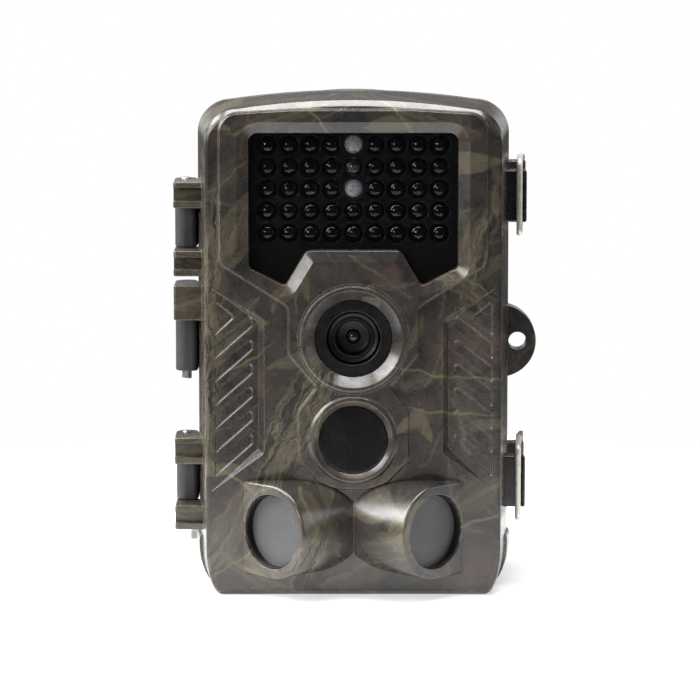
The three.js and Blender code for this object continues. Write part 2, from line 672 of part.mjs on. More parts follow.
for (const [name, { barrel, lugs }] of Object.entries(PIN_SPANS)) {
  const eye = new THREE.Shape();
  eye.absarc(HINGE_X, HINGE_Y, 3, 0, Math.PI * 2, false);
  const leaf = box(HINGE_X - 3, -42.55, HINGE_Y, 7, barrel[0], barrel[1]);
  const foot = box(-42.6, -39.1, 6.45, 9.4, barrel[0] + 0.6, barrel[1] - 0.6);
  const bridge = box(HINGE_X - 2, -42.5, 6.45, 9.4, barrel[0] + 0.6, barrel[1] - 0.6);
  const hole = rodZ(barrel[0] - 1, barrel[1] + 1, HINGE_X, HINGE_Y, PIN_RADIUS + 0.12, 16);
  piece(`${name}_hinge_barrel`, cut(join(prismZ(eye, barrel[0], barrel[1], 14), leaf, bridge, foot), hole), 'black');
  const low = name === 'middle' ? barrel[0] - 2.4 : lugs[1][0] + 1.5;
  const high = name === 'middle' ? 81.3 : lugs[0][1] + 0.3;
  piece(`${name}_hinge_pin`, rodZ(low, high, HINGE_X, HINGE_Y, PIN_RADIUS, 16), 'steel');
}

// ---------------------------------------------------------------- latches

/** The wire's path: in from the lower pivot, along to the hook, up and back again. */
function bail(z) {
  const reach = 9.8;
  const path = new THREE.CurvePath();
  const low = z - reach;
  const high = z + reach;
  const at = (point, height) => new THREE.Vector3(point.x, point.y, height);
  const towards = (from, to, distance) => from.clone().addScaledVector(to.clone().sub(from).normalize(), distance);
  const corners = [
    at(BAIL_PIVOT, z - LATCH_HALF + 3), at(BAIL_PIVOT, low), at(WIRE_END, low),
    at(WIRE_END, high), at(BAIL_PIVOT, high), at(BAIL_PIVOT, z + LATCH_HALF - 3),
  ];
  const bend = 1.6;
  let start = corners[0];
  for (let i = 1; i + 1 < corners.length; i += 1) {
    const before = towards(corners[i], corners[i - 1], bend);
    const after = towards(corners[i], corners[i + 1], bend);
    path.add(new THREE.LineCurve3(start, before));
    path.add(new THREE.QuadraticBezierCurve3(before, corners[i], after));
    start = after;
  }
  path.add(new THREE.LineCurve3(start, corners[corners.length - 1]));
  return sweep(path.getPoints(4), WIRE_RADIUS, 8);
}

/** A round wire along a list of points in one plane. */
function sweep(points, radius, sides) {
  const centres = points.filter((point, i) => i === 0 || point.distanceTo(points[i - 1]) > 0.05);
  const normal = new THREE.Vector3();
  for (let i = 1; i + 1 < centres.length && normal.length() < 0.1; i += 1) {
    normal.crossVectors(centres[i].clone().sub(centres[i - 1]), centres[i + 1].clone().sub(centres[i]));
  }
  normal.normalize();
  const rings = centres.map((centre, i) => {
    const before = centres[Math.max(i - 1, 0)];
    const after = centres[Math.min(i + 1, centres.length - 1)];
    const along = after.clone().sub(before).normalize();
    const across = new THREE.Vector3().crossVectors(along, normal);
    const ring = [];
    for (let k = 0; k < sides; k += 1) {
      const angle = (k / sides) * Math.PI * 2;
      ring.push(centre.clone().addScaledVector(across, radius * Math.cos(angle))
        .addScaledVector(normal, radius * Math.sin(angle)));
    }
    return ring;
  });
  const positions = rings.flat().flatMap((point) => [point.x, point.y, point.z]);
  const index = [];
  for (let ring = 0; ring + 1 < rings.length; ring += 1) {
    for (let i = 0; i < sides; i += 1) {
      const a = ring * sides + i;
      const b = ring * sides + (i + 1) % sides;
      index.push(a, b, a + sides, b, b + sides, a + sides);
    }
  }
  const last = (rings.length - 1) * sides;
  for (let i = 1; i + 1 < sides; i += 1) {
    index.push(0, i + 1, i);
    index.push(last, last + i, last + i + 1);
  }
  const geometry = new THREE.BufferGeometry();
  geometry.setAttribute('position', new THREE.Float32BufferAttribute(positions, 3));
  geometry.setIndex(index);
  return outward(geometry);
}

for (const [name, z] of Object.entries(LATCH_HEIGHTS)) {
  const profile = new THREE.Shape();
  profile.moveTo(LEVER_PIVOT.x, LEVER_PIVOT.y - 2.2);
  profile.lineTo(44.9, 9.6);
  profile.lineTo(46.9, 9.9);
  profile.lineTo(47.4, 11);
  profile.lineTo(47.3, 24);
  profile.lineTo(48, 30.5);
  profile.lineTo(46.8, 30.8);
  profile.lineTo(45.6, 24);
  profile.lineTo(45.4, 15.4);
  profile.lineTo(LEVER_PIVOT.x, LEVER_PIVOT.y + 2.2);
  profile.absarc(LEVER_PIVOT.x, LEVER_PIVOT.y, 2.2, Math.PI / 2, Math.PI * 1.5, false);
  const lever = cut(
    prismZ(profile, z - LATCH_HALF, z + LATCH_HALF, 8),
    box(39, 45.3, 5, 20, z - 3.2, z + 3.2),
    rodZ(z - 12, z + 12, LEVER_PIVOT.x, LEVER_PIVOT.y, 1.12, 12),
    rodZ(z - LATCH_HALF - 1, z - LATCH_HALF + 3.3, BAIL_PIVOT.x, BAIL_PIVOT.y, WIRE_RADIUS + 0.16, 16),
    rodZ(z + LATCH_HALF - 3.3, z + LATCH_HALF + 1, BAIL_PIVOT.x, BAIL_PIVOT.y, WIRE_RADIUS + 0.16, 16),
  );
  piece(`${name}_latch_lever`, lever, 'camo');
  piece(`${name}_latch_wire`, bail(z), 'steel');
  piece(`${name}_latch_pin`,
    rodZ(z - LATCH_HALF + 0.3, z + LATCH_HALF - 0.3, LEVER_PIVOT.x, LEVER_PIVOT.y, 1, 12), 'steel');
}

// ---------------------------------------------------------------- battery tray

const bayX = (i) => (i - (BAY_COUNT - 1) / 2) * (BAY_WIDTH + BAY_WALL);

{
  const half = (BAY_COUNT * BAY_WIDTH + (BAY_COUNT + 1) * BAY_WALL) / 2;
  const tray = box(-half, half, TRAY_Y[0], TRAY_Y[1], BAY_LOW_Z - BAY_WALL, BAY_HIGH_Z + BAY_WALL);
  const bays = [];
  for (let i = 0; i < BAY_COUNT; i += 1) {
    const x = bayX(i);
    bays.push(box(x - BAY_WIDTH / 2, x + BAY_WIDTH / 2, TRAY_Y[0] - 1, TRAY_Y[1] - 1.4, BAY_LOW_Z, BAY_HIGH_Z));
  }
  piece('battery_tray', cut(tray, ...bays), 'black');
}

/** A battery spring: a coil of wire standing on one end of a bay. */
function spring(x, y, z0, z1, turns = 3) {
  const points = [];
  const steps = turns * 8;
  for (let i = 0; i <= steps; i += 1) {
    const t = i / steps;
    const angle = t * turns * Math.PI * 2;
    const radius = 4.2 - 1.4 * t;
    points.push(new THREE.Vector3(x + radius * Math.cos(angle), y + radius * Math.sin(angle), z0 + (z1 - z0) * t));
  }
  const curve = new THREE.CatmullRomCurve3(points);
  const section = new THREE.Shape();
  section.absarc(0, 0, 0.45, 0, Math.PI * 2, false);
  const geometry = new THREE.ExtrudeGeometry(section, { extrudePath: curve, steps, curveSegments: 3 });
  return solid(geometry);
}

for (let i = 0; i < BAY_COUNT; i += 1) {
  const x = bayX(i);
  const y = (TRAY_Y[0] + TRAY_Y[1]) / 2 - 0.4;
  const springLow = i % 2 === 0;
  const lowEnd = BAY_LOW_Z + 0.1;
  const highEnd = BAY_HIGH_Z - 0.1;
  const plate = (z0, z1) => box(x - 5.6, x + 5.6, y - 5.6, y + 5.6, z0, z1);
  const coil = springLow
    ? join(plate(lowEnd, lowEnd + 0.5), spring(x, y, lowEnd + 0.8, lowEnd + 6.2))
    : join(plate(highEnd - 0.5, highEnd), spring(x, y, highEnd - 0.8, highEnd - 6.2));
  piece(`battery_spring_${i + 1}`, coil, 'steel');
  const button = springLow
    ? join(plate(highEnd - 0.5, highEnd), rodZ(highEnd - 1.3, highEnd - 0.3, x, y, 2.4, 16))
    : join(plate(lowEnd, lowEnd + 0.5), rodZ(lowEnd + 0.3, lowEnd + 1.3, x, y, 2.4, 16));
  piece(`battery_contact_${i + 1}`, button, 'steel');
}

// ---------------------------------------------------------------- sockets and inserts

piece('power_socket', cut(
  rodX(-37.8, -33.9, DC_Y, DC_Z, 2.95, 20), rodX(-39, -34.6, DC_Y, DC_Z, 2.1, 16)), 'black');
piece('power_socket_plug', join(
  rodX(-45.3, -40, DC_Y, DC_Z, 2, 16), rodX(-40.2, -38.5, DC_Y, DC_Z, 3.9, 24),
  rodX(-38.7, -35.4, DC_Y, DC_Z, 1.9, 16)), 'greyRubber');
piece('tripod_insert', turnedZ([[2.75, 0.3], [5, 0.3], [5, 9], [2.75, 9]], 0, 13, 24), 'brass');

// ---------------------------------------------------------------- tree bracket

const BRACKET_HALF = 25;
const STRAP_SLOTS = [[84, 112], [30, 58]];

{
  const back = box(-BRACKET_HALF, BRACKET_HALF, BACK_Y + 0.1, BACK_Y + 2.6, 12, 129.8);
  const teeth = [v2(BACK_Y + 0.1, 10), v2(34, 10), v2(BRACKET_Y, 14)];
  for (let z = 20; z < 124; z += 8) {
    teeth.push(v2(BRACKET_Y, z), v2(BRACKET_Y - 1.6, z + 2), v2(BRACKET_Y, z + 4));
  }
  teeth.push(v2(BRACKET_Y, 125.6), v2(34, 129.8), v2(BACK_Y + 0.1, 129.8));
  const rail = (x0, x1) => prismX(outlineShape(teeth), x0, x1);
  const slots = STRAP_SLOTS.map(([z0, z1]) => box(-40, 40, 30.1, 34.7, z0, z1));
  const holes = [22, 126].map((z) => rodY(26, 32, 0, z, 1.8, 12));
  piece('tree_bracket', cut(join(back, rail(-BRACKET_HALF, -20), rail(20, BRACKET_HALF)), ...slots, ...holes), 'black');
}

for (const [name, z] of [['upper_bracket_screw', 126], ['lower_bracket_screw', 22]]) {
  const head = rodY(BACK_Y + 2.75, BACK_Y + 4.6, 0, z, 3.2, 20);
  const recess = join(box(-2, 2, 31, 33, z - 0.5, z + 0.5), box(-0.5, 0.5, 31, 33, z - 2, z + 2));
  piece(name, cut(join(head, rodY(23.2, BACK_Y + 3, 0, z, 1.5, 12)), recess), 'steel');
}

export default camera;
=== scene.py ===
import math

import bmesh
import bpy
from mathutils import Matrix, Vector


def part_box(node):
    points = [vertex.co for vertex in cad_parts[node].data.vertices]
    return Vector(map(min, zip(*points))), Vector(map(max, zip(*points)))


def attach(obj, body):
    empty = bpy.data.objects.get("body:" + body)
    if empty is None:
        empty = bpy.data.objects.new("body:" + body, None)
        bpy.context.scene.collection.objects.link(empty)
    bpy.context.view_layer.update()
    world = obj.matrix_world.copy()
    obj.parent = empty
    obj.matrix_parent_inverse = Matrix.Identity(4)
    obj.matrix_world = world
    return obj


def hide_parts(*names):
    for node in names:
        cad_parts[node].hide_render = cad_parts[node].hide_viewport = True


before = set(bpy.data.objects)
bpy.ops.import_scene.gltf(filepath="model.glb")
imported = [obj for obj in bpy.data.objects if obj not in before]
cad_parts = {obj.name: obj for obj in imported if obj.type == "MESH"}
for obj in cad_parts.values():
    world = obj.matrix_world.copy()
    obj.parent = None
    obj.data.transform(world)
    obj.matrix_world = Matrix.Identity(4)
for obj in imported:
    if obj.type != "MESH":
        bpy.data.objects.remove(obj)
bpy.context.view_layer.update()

# Lengths below are millimetres, and become metres as each mesh is made.
MM = 0.001
UP = (0, 0, 1)
SHARP_ANGLE = 32
RIGHT = (1, 0, 0)


def box_mm(node):
    low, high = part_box(node)
    return low / MM, high / MM


def centre_mm(node):
    low, high = box_mm(node)
    return (low + high) / 2


def place_object(name, data):
    made = bpy.data.objects.new(name, data)
    bpy.context.scene.collection.objects.link(made)
    return made


# ---- the frame's main places

SHELL_LOW, SHELL_HIGH = box_mm("front_shell")
HOOD_LOW, HOOD_HIGH = box_mm("side_sensor_hood")
REAR_LOW, REAR_HIGH = box_mm("rear_shell")
LENS_Z = centre_mm("lens_hood").z
PIR_Z = centre_mm("centre_sensor_window").z
TUBE_Z = (HOOD_LOW.z + HOOD_HIGH.z) / 2
HEIGHT = SHELL_HIGH.z
BOOT_HALF = -REAR_LOW.x
RING_Y = SHELL_LOW.y
PLATE_Y = RING_Y + 0.7
FACE_Y = PLATE_Y + 1.0
REAR_RIM_Y = REAR_LOW.y
RIM_Y = REAR_RIM_Y - 0.2
BACK_Y = REAR_HIGH.y
WINDOW_Y = box_mm("flash_window")[0].y
HINGE_X = centre_mm("upper_hinge_pin").x
HINGE_Y = centre_mm("upper_hinge_pin").y
HALF_WIDTH = 42.4
BOOT_TOP = 14.5
LENS_BORE = 10.4
PIR_BORE = 9.3
TUBE_RADIUS = 12.8
TUBE_BORE = 10.05
TUBE_FOOT_X = 29.6
TUBE_CENTRE = 10.3
MASK_Y = box_mm("flash_mask")[0].y
LED_PITCH_X, LED_PITCH_Z = 5.78, 5.92
LED_TOP_Z = 121.9
LED_BASE_Y = -9.5

# ---- camera, lights and floor

PITCH = math.radians(8)
DISTANCE = 1074.0
SENSOR_WIDTH = 36
target = Vector((-0.91, FACE_Y, 67.1))
look = Vector((0, math.cos(PITCH), -math.sin(PITCH)))
camera_data = bpy.data.cameras.new("camera")
camera_data.sensor_width = SENSOR_WIDTH
camera_data.lens = SENSOR_WIDTH * 40 / 7
camera_data.clip_end = 20
camera = place_object("camera", camera_data)
camera.location = (target - look * DISTANCE) * MM
camera.rotation_euler = (math.pi / 2 - PITCH, 0, 0)
bpy.context.scene.camera = camera


def area_light(name, place, aim, size, power):
    data = bpy.data.lights.new(name, "AREA")
    data.shape = "RECTANGLE"
    data.size, data.size_y = size
    data.energy = power
    lamp = place_object(name, data)
    lamp.location = place
    lamp.rotation_euler = (Vector(aim) - Vector(place)).to_track_quat("-Z", "Y").to_euler()


MIDDLE = (0, 0, 0.07)
area_light("key_light", (-0.82, 0.0, 0.66), MIDDLE, (0.8, 0.75), 25)
area_light("top_light", (0.0, -0.06, 0.95), MIDDLE, (0.8, 0.42), 15)
area_light("front_light", (-0.62, -0.88, 0.38), MIDDLE, (0.32, 0.28), 4.2)
area_light("right_light", (0.9, 0.0, 0.3), MIDDLE, (0.4, 0.5), 1.4)


# ---- node helpers


class Shader:
    """Builds one node tree: a material's, the world's, or a group's."""

    def __init__(self, name, kind="materials"):
        if kind == "node_groups":
            self.tree = bpy.data.node_groups.new(name, "ShaderNodeTree")
        else:
            self.owner = getattr(bpy.data, kind).new(name)
            self.owner.use_nodes = True
            self.tree = self.owner.node_tree
        self.nodes = self.tree.nodes
        self.nodes.clear()

    def add(self, kind, **settings):
        node = self.nodes.new(kind)
        for key, value in settings.items():
            setattr(node, key, value)
        return node

    def fixed(self, node, **values):
        """Sets a node's unlinked inputs by their names."""
        for key, value in values.items():
            node.inputs[key.replace("_", " ")].default_value = value

    def put(self, socket, value):
        if isinstance(value, bpy.types.NodeSocket):
            self.tree.links.new(value, socket)
        elif value is not None:
            socket.default_value = value

    def math(self, operation, a, b=None, c=None, clamp=False):
        node = self.add("ShaderNodeMath", operation=operation, use_clamp=clamp)
        for socket, value in zip(node.inputs, (a, b, c)):
            self.put(socket, value)
        return node.outputs[0]

    def times(self, a, b):
        return self.math("MULTIPLY", a, b)

    def minus(self, a, b):
        return self.math("SUBTRACT", a, b)

    def plus(self, a, b):
        return self.math("ADD", a, b)

    def split(self, vector):
        node = self.add("ShaderNodeSeparateXYZ")
        self.put(node.inputs[0], vector)
        return node.outputs

    def combine(self, x=0.0, y=0.0, z=0.0):
        node = self.add("ShaderNodeCombineXYZ")
        for socket, value in zip(node.inputs, (x, y, z)):
            self.put(socket, value)
        return node.outputs[0]

    def vector(self, operation, a, b=None, scale=None):
        node = self.add("ShaderNodeVectorMath", operation=operation)
        self.put(node.inputs[0], a)
        if b is not None:
            self.put(node.inputs[1], b)
        if scale is not None:
            self.put(node.inputs["Scale"], scale)
        return node.outputs["Value"] if operation == "DOT_PRODUCT" else node.outputs[0]

    def noise(self, vector, scale, detail=3.0, rough=0.5, distortion=0.0):
        node = self.add("ShaderNodeTexNoise")
        self.put(node.inputs["Vector"], vector)
        self.fixed(node, Scale=scale, Detail=detail, Roughness=rough, Distortion=distortion)
        return node.outputs[0]

    def noise_vector(self, vector, scale, amount):
        node = self.add("ShaderNodeTexNoise")
        self.put(node.inputs["Vector"], vector)
        self.fixed(node, Scale=scale, Detail=2)
        centred = self.vector("SUBTRACT", node.outputs["Color"], (0.5, 0.5, 0.5))
        return self.vector("ADD", vector, self.vector("SCALE", centred, scale=amount))

    def voronoi(self, vector, scale, feature="F1", randomness=1.0):
        node = self.add("ShaderNodeTexVoronoi", feature=feature)
        self.put(node.inputs["Vector"], vector)
        self.fixed(node, Scale=scale, Randomness=randomness)
        return node.outputs

    def ramp(self, value, stops):
        node = self.add("ShaderNodeValToRGB")
        self.put(node.inputs[0], value)
        elements = node.color_ramp.elements
        while len(elements) < len(stops):
            elements.new(0.5)
        for element, (place, colour) in zip(elements, stops):
            element.position = place
            element.color = (*colour, 1)
        return node.outputs[0]

    def fade(self, value, start, end, low=0.0, high=1.0, kind="SMOOTHSTEP"):
        node = self.add("ShaderNodeMapRange", interpolation_type=kind)
        self.put(node.inputs["Value"], value)
        self.fixed(node, From_Min=start, From_Max=end, To_Min=low, To_Max=high)
        return node.outputs[0]

    def mix(self, amount, a, b, blend="MIX"):
        node = self.add("ShaderNodeMix", data_type="RGBA", blend_type=blend)
        for socket, value in zip((node.inputs[0], node.inputs[6], node.inputs[7]), (amount, a, b)):
            if isinstance(value, tuple) and len(value) == 3:
                value = (*value, 1)
            self.put(socket, value)
        return node.outputs[2]

    def place_mm(self):
        """The point in millimetres in the object's own frame."""
        node = self.add("ShaderNodeTexCoord")
        return self.vector("SCALE", node.outputs["Object"], scale=1000.0)

    def surface(self, colour, roughness, height=None, bump=0.05, distance=0.0001, normal=None, **sockets):
        shader = self.add("ShaderNodeBsdfPrincipled")
        self.put(shader.inputs["Base Color"], (*colour, 1) if isinstance(colour, tuple) else colour)
        self.put(shader.inputs["Roughness"], roughness)
        self.fixed(shader, **sockets)
        if height is not None:
            node = self.add("ShaderNodeBump")
            self.fixed(node, Strength=bump, Distance=distance)
            self.put(node.inputs["Height"], height)
            if normal is not None:
                self.put(node.inputs["Normal"], normal)
            self.put(shader.inputs["Normal"], node.outputs[0])
        elif normal is not None:
            self.put(shader.inputs["Normal"], normal)
        output = self.add("ShaderNodeOutputMaterial")
        self.tree.links.new(shader.outputs[0], output.inputs[0])
        return self.owner

    def gloss(self, scale, low, high, detail=3):
        """Roughness that wanders between two values."""
        return self.fade(self.noise(self.place_mm(), scale, detail, 0.6), 0.3, 0.7, low, high)

    def edges(self, radius=0.35, reach=0.9):
        """Rounded normals near edges, and a mask that is 1 on the edges."""
        bevel = self.add("ShaderNodeBevel", samples=4)
        bevel.inputs["Radius"].default_value = radius * MM
        geometry = self.add("ShaderNodeNewGeometry")
        agree = self.vector("DOT_PRODUCT", bevel.outputs[0], geometry.outputs["Normal"])
        return bevel.outputs[0], self.fade(agree, reach + 0.095, reach)


def make_world():
    """White to the camera. Light comes from a pale backdrop low behind the object, in a dark room."""
    s = Shader("studio", "worlds")
    bpy.context.scene.world = s.owner
    _, y, z = s.split(s.add("ShaderNodeTexCoord").outputs["Generated"])
    band = s.times(s.fade(z, 0.17, 0.09, kind="LINEAR"), s.fade(z, -0.07, -0.01, kind="LINEAR"))
    backdrop = s.times(s.fade(y, -0.1, 0.5, kind="LINEAR"), band)
    cast = s.add("ShaderNodeBackground")
    s.put(cast.inputs["Strength"], s.math("MULTIPLY_ADD", backdrop, 0.95, 0.07))
    seen = s.add("ShaderNodeBackground")
    s.fixed(seen, Color=(1, 1, 1, 1), Strength=1.0)
    mix = s.add("ShaderNodeMixShader")
    path = s.add("ShaderNodeLightPath")
    for socket, value in zip(mix.inputs, (path.outputs["Is Camera Ray"], cast.outputs[0], seen.outputs[0])):
        s.put(socket, value)
    s.put(s.add("ShaderNodeOutputWorld").inputs[0], mix.outputs[0])


make_world()
bpy.context.scene.view_settings.view_transform = "Standard"

# ---- camouflage print

CHARCOAL = (0.016, 0.0145, 0.014)
UMBER = (0.033, 0.028, 0.024)
ROSE_BROWN = (0.062, 0.045, 0.037)
OLIVE = (0.088, 0.077, 0.045)
KHAKI = (0.165, 0.142, 0.092)
MOSS = (0.150, 0.150, 0.062)

# Large leaves of the print: x, z, angle, half length, half width, shade 0 to 1. The film's x runs on round
# the side, so the last five leaves fall on the hinge lugs.
PANEL_LEAVES = [
    (-31.5, 98.5, 65, 15, 5.2, 0.75),
    (-30.5, 116, 40, 11, 3.2, 0.25),
    (-20, 129.5, 20, 15, 3.0, 0.55),
    (33.5, 96, 72, 17, 4.4, 0.6),
    (21, 128.8, -15, 12, 2.4, 0.35),
    (-33, 73, 48, 12, 3.4, 0.7),
    (-17.5, 84, 58, 9, 3.6, 0.5),
    (27, 86.5, -42, 13, 2.6, 0.8),
    (29, 52, -72, 15, 4.4, 0.3),
    (24, 66, 62, 11, 3.4, 0.15),
    (-33, 19, 62, 16, 4.6, 0.8),
    (-24, 5.5, -28, 15, 4.2, 0.65),
    (6, 9.5, 24, 18, 5.2, 0.45),
    (14.5, 21, 55, 9, 4.6, 1.0),
    (31, 26, 30, 14, 4.2, 0.65),
    (-9, 21, -62, 12, 3.8, 0.5),
    (-58, 113, 8, 9, 7, 0.9),
    (-57, 94, -15, 9, 6, 0.8),
    (-58, 82, 12, 9, 6, 0.6),
    (-57, 42, 8, 9, 6, 0.9),
    (-58, 23, -10, 9, 6, 0.8),
]

# Strips of bark in the print: x, z, angle, half length, half width.
PANEL_BARK = [
    (-14.5, 49, 62, 31, 8.5),
    (-12, 12, 66, 14, 5.5),
    (34, 94, 74, 16, 3.8),
    (-41, 60, 85, 60, 6.5),
]

# Thin twigs of the print: x, z, angle, half length, half width.
PANEL_TWIGS = [
    (-9, 128, -58, 12, 0.5),
    (13, 129, -50, 13, 0.45),
    (28, 88, -36, 15, 0.55),
    (24, 60.5, -9, 22, 0.45),
    (27, 50.5, -3, 16, 0.5),
    (-31, 10, 34, 14, 0.4),
    (-32, 32, -40, 12, 0.5),
    (33, 20, 28, 12, 0.5),
    (-30, 64, 30, 12, 0.4),
]


def camo_group():
    s = Shader("camo_print", "node_groups")
    s.tree.interface.new_socket("Color", in_out="OUTPUT", socket_type="NodeSocketColor")
    s.tree.interface.new_socket("Height", in_out="OUTPUT", socket_type="NodeSocketFloat")
    out = s.add("NodeGroupOutput")
    x, y, z = s.split(s.place_mm())
    # The film wraps round the case: going back along a side runs on from the front panel's edge.
    back = s.math("MAXIMUM", s.minus(y, FACE_Y), 0.0)
    side = s.math("MAXIMUM", s.math("MINIMUM", s.math("DIVIDE", x, 8.0), 1.0), -1.0)
    across = s.plus(x, s.times(back, side))
    up = s.plus(z, s.times(back, 0.35))
    flat = s.combine(across, up, 0.0)
    wavy = s.noise_vector(flat, 0.11, 5.0)
    rough = s.noise_vector(wavy, 0.7, 1.3)

    ground = s.noise(wavy, 0.045, 4, 0.55, 0.4)
    colour = s.ramp(ground, [
        (0.36, CHARCOAL), (0.47, UMBER), (0.56, UMBER), (0.63, ROSE_BROWN), (0.72, UMBER)])
    blotch = s.noise(rough, 0.16, 5, 0.6, 0.6)
    colour = s.mix(s.fade(blotch, 0.5, 0.62, 0, 0.65), colour, CHARCOAL)
    sienna = s.noise(s.vector("ADD", wavy, (71.0, 33.0, 0.0)), 0.08, 3, 0.55)
    colour = s.mix(s.fade(sienna, 0.58, 0.68, 0, 0.8), colour, (0.062, 0.038, 0.029))

    def stretched(cx, cz, angle, vector=rough):
        """The point turned into a strip's own length and width axes."""
        moved = s.vector("SUBTRACT", vector, (cx, cz, 0.0))
        a = math.radians(angle)
        along = s.vector("DOT_PRODUCT", moved, (math.cos(a), math.sin(a), 0.0))
        side = s.vector("DOT_PRODUCT", moved, (-math.sin(a), math.cos(a), 0.0))
        return along, side

    def leaf_mask(along, side, length, width, soft=0.12):
        u = s.math("DIVIDE", along, length)
        taper = s.minus(1.0, s.times(u, u))
        v = s.math("DIVIDE", s.math("ABSOLUTE", side), width)
        return s.fade(s.minus(taper, v), 0.0, soft), v

    # small scattered leaves over the whole case
    for cell, seed, length, width in ((0.048, 0.0, 11.0, 2.9), (0.075, 57.0, 7.0, 1.9)):
        shifted = s.vector("ADD", rough, (seed, seed * 0.7, 0.0))
        cells = s.voronoi(s.vector("MULTIPLY", shifted, (1.0, 1.0, 0.0)), cell, randomness=0.85)
        offset = s.vector("SUBTRACT", shifted, cells["Position"])
        red, green, blue = s.split(cells["Color"])
        turn = s.times(red, math.tau)
        cosine = s.math("COSINE", turn)
        sine = s.math("SINE", turn)
        ox, oz, _ = s.split(offset)
        along = s.plus(s.times(ox, cosine), s.times(oz, sine))
        side_way = s.minus(s.times(oz, cosine), s.times(ox, sine))
        mask, v = leaf_mask(along, side_way, length, width)
        mask = s.times(mask, s.fade(blue, 0.35, 0.4))
        tint = s.ramp(green, [(0.0, CHARCOAL), (0.3, ROSE_BROWN), (0.55, OLIVE), (0.8, KHAKI), (1.0, UMBER)])
        vein = s.times(mask, s.fade(v, 0.12, 0.04, 0, 0.3))
        colour = s.mix(s.times(mask, 0.5), colour, tint)
        colour = s.mix(vein, colour, KHAKI)

    for cx, cz, angle, length, width, shade in PANEL_LEAVES:
        along, side_way = stretched(cx, cz, angle)
        mask, v = leaf_mask(along, side_way, length, width)
        fine = s.combine(s.times(along, 0.12), s.times(side_way, 0.9), shade * 9)
        fibre = s.noise(fine, 1.0, 4, 0.6)
        tint = s.ramp(fibre, [
            (0.3, tuple(0.45 * a for a in UMBER)),
            (0.52, tuple(a * (1 - shade) + b * shade for a, b in zip(ROSE_BROWN, OLIVE))),
            (0.75, tuple(a * (1 - shade) + b * shade for a, b in zip(UMBER, KHAKI))),
        ])
        colour = s.mix(s.times(mask, 0.35 + 0.5 * shade), colour, tint)
        rim = s.times(mask, s.fade(v, 0.15, 0.03, 0, 0.35))
        colour = s.mix(rim, colour, KHAKI)

    for cx, cz, angle, length, width in PANEL_BARK:
        along, side_way = stretched(cx, cz, angle)
        mask, _ = leaf_mask(along, side_way, length, width, 0.5)
        fine = s.combine(s.times(along, 0.075), s.times(side_way, 0.62), cx)
        bark = s.ramp(s.noise(fine, 1.0, 6, 0.62, 0.7), [
            (0.36, CHARCOAL), (0.44, UMBER), (0.5, KHAKI), (0.54, OLIVE), (0.6, UMBER), (0.68, KHAKI)])
        colour = s.mix(s.times(mask, 0.85), colour, bark)

    for cx, cz, angle, length, width in PANEL_TWIGS:
        along, side_way = stretched(cx, cz, angle, wavy)
        mask, v = leaf_mask(along, side_way, length, width, 0.5)
        colour = s.mix(s.times(mask, 0.62), colour, MOSS)

    # fine fibres and speckle of the print
    streak = s.noise(s.vector("MULTIPLY", rough, (1.3, 0.22, 1.0)), 1.0, 5, 0.65)
    colour = s.mix(s.fade(streak, 0.55, 0.75, 0, 0.35), colour, (0.11, 0.096, 0.075))
    crack = s.voronoi(s.vector("MULTIPLY", rough, (0.30, 0.13, 1.0)), 1.0, "DISTANCE_TO_EDGE")
    colour = s.mix(s.fade(crack["Distance"], 0.05, 0.0, 0, 0.12), colour, (0.010, 0.009, 0.009))
    grain = s.noise(flat, 3.0, 3, 0.6)
    colour = s.mix(s.fade(grain, 0.35, 0.7, 0, 0.18), colour, (0.10, 0.092, 0.08))
    s.tree.links.new(colour, out.inputs["Color"])
    s.tree.links.new(s.noise(s.place_mm(), 2.6, 2, 0.5), out.inputs["Height"])
    return s.tree


CAMO = camo_group()


def camo_material():
    """The printed film under a thin clear coat, paler along the edges: partly rubbed wear, mostly painted
    highlight lines.
    """
    s = Shader("camo_film")
    group = s.add("ShaderNodeGroup", node_tree=CAMO)
    normal, edge = s.edges(0.14)
    # Painted highlight: a pale colour on every edge stands in for thin light lines, with a little rubbed
    # wear.
    edge_wear_and_painted_highlight = s.times(edge, s.fade(s.noise(s.place_mm(), 0.9, 3, 0.6), 0.2, 0.6, 0.35, 0.9))
    colour = s.mix(edge_wear_and_painted_highlight, group.outputs["Color"], (0.40, 0.385, 0.36))
    gloss = s.fade(s.noise(s.place_mm(), 0.35, 4, 0.6), 0.3, 0.75, 0.24, 0.36)
    return s.surface(colour, gloss, group.outputs["Height"], 0.10, 0.00006, normal,
                     Specular_IOR_Level=0.5, Coat_Weight=0.3, Coat_Roughness=0.2)


def moulded_material(name, colour, roughness, grain=1.8, bump=0.25, lift=0.4, shine=0.5):
    """Moulded plastic or rubber: fine grain, a dusty variation and paler rubbed edges."""
    s = Shader(name)
    place = s.place_mm()
    normal, edge = s.edges(0.3)
    dust = s.fade(s.noise(place, 0.12, 4, 0.6), 0.35, 0.75, 0.0, 0.25)
    pale = tuple(min(1, c * 1.8 + 0.02) for c in colour)
    shade = s.mix(dust, colour, pale)
    shade = s.mix(s.times(edge, lift), shade, tuple(min(1, c * 2.6 + 0.07) for c in colour))
    gloss = s.gloss(0.5, roughness - 0.07, roughness + 0.08)
    return s.surface(shade, gloss, s.noise(place, grain, 3, 0.6), bump, 0.00008, normal,
                     Specular_IOR_Level=shine)


def metal_material(name, colour, roughness, metallic=1.0):
    """Metal with fine drawn lines, faint stains and brighter edges."""
    s = Shader(name)
    place = s.place_mm()
    normal, edge = s.edges(0.15)
    lines = s.noise(s.vector("MULTIPLY", place, (1.0, 1.0, 0.08)), 5.0, 4, 0.6)
    stain = s.fade(s.noise(place, 0.3, 4, 0.6), 0.45, 0.75, 0, 0.35)
    shade = s.mix(stain, colour, tuple(c * 0.62 for c in colour))
    shade = s.mix(s.times(edge, 0.5), shade, tuple(min(1, c * 1.25) for c in colour))
    gloss = s.fade(lines, 0.3, 0.7, roughness - 0.06, roughness + 0.1)
    return s.surface(shade, gloss, lines, 0.08, 0.00003, normal, Metallic=metallic)


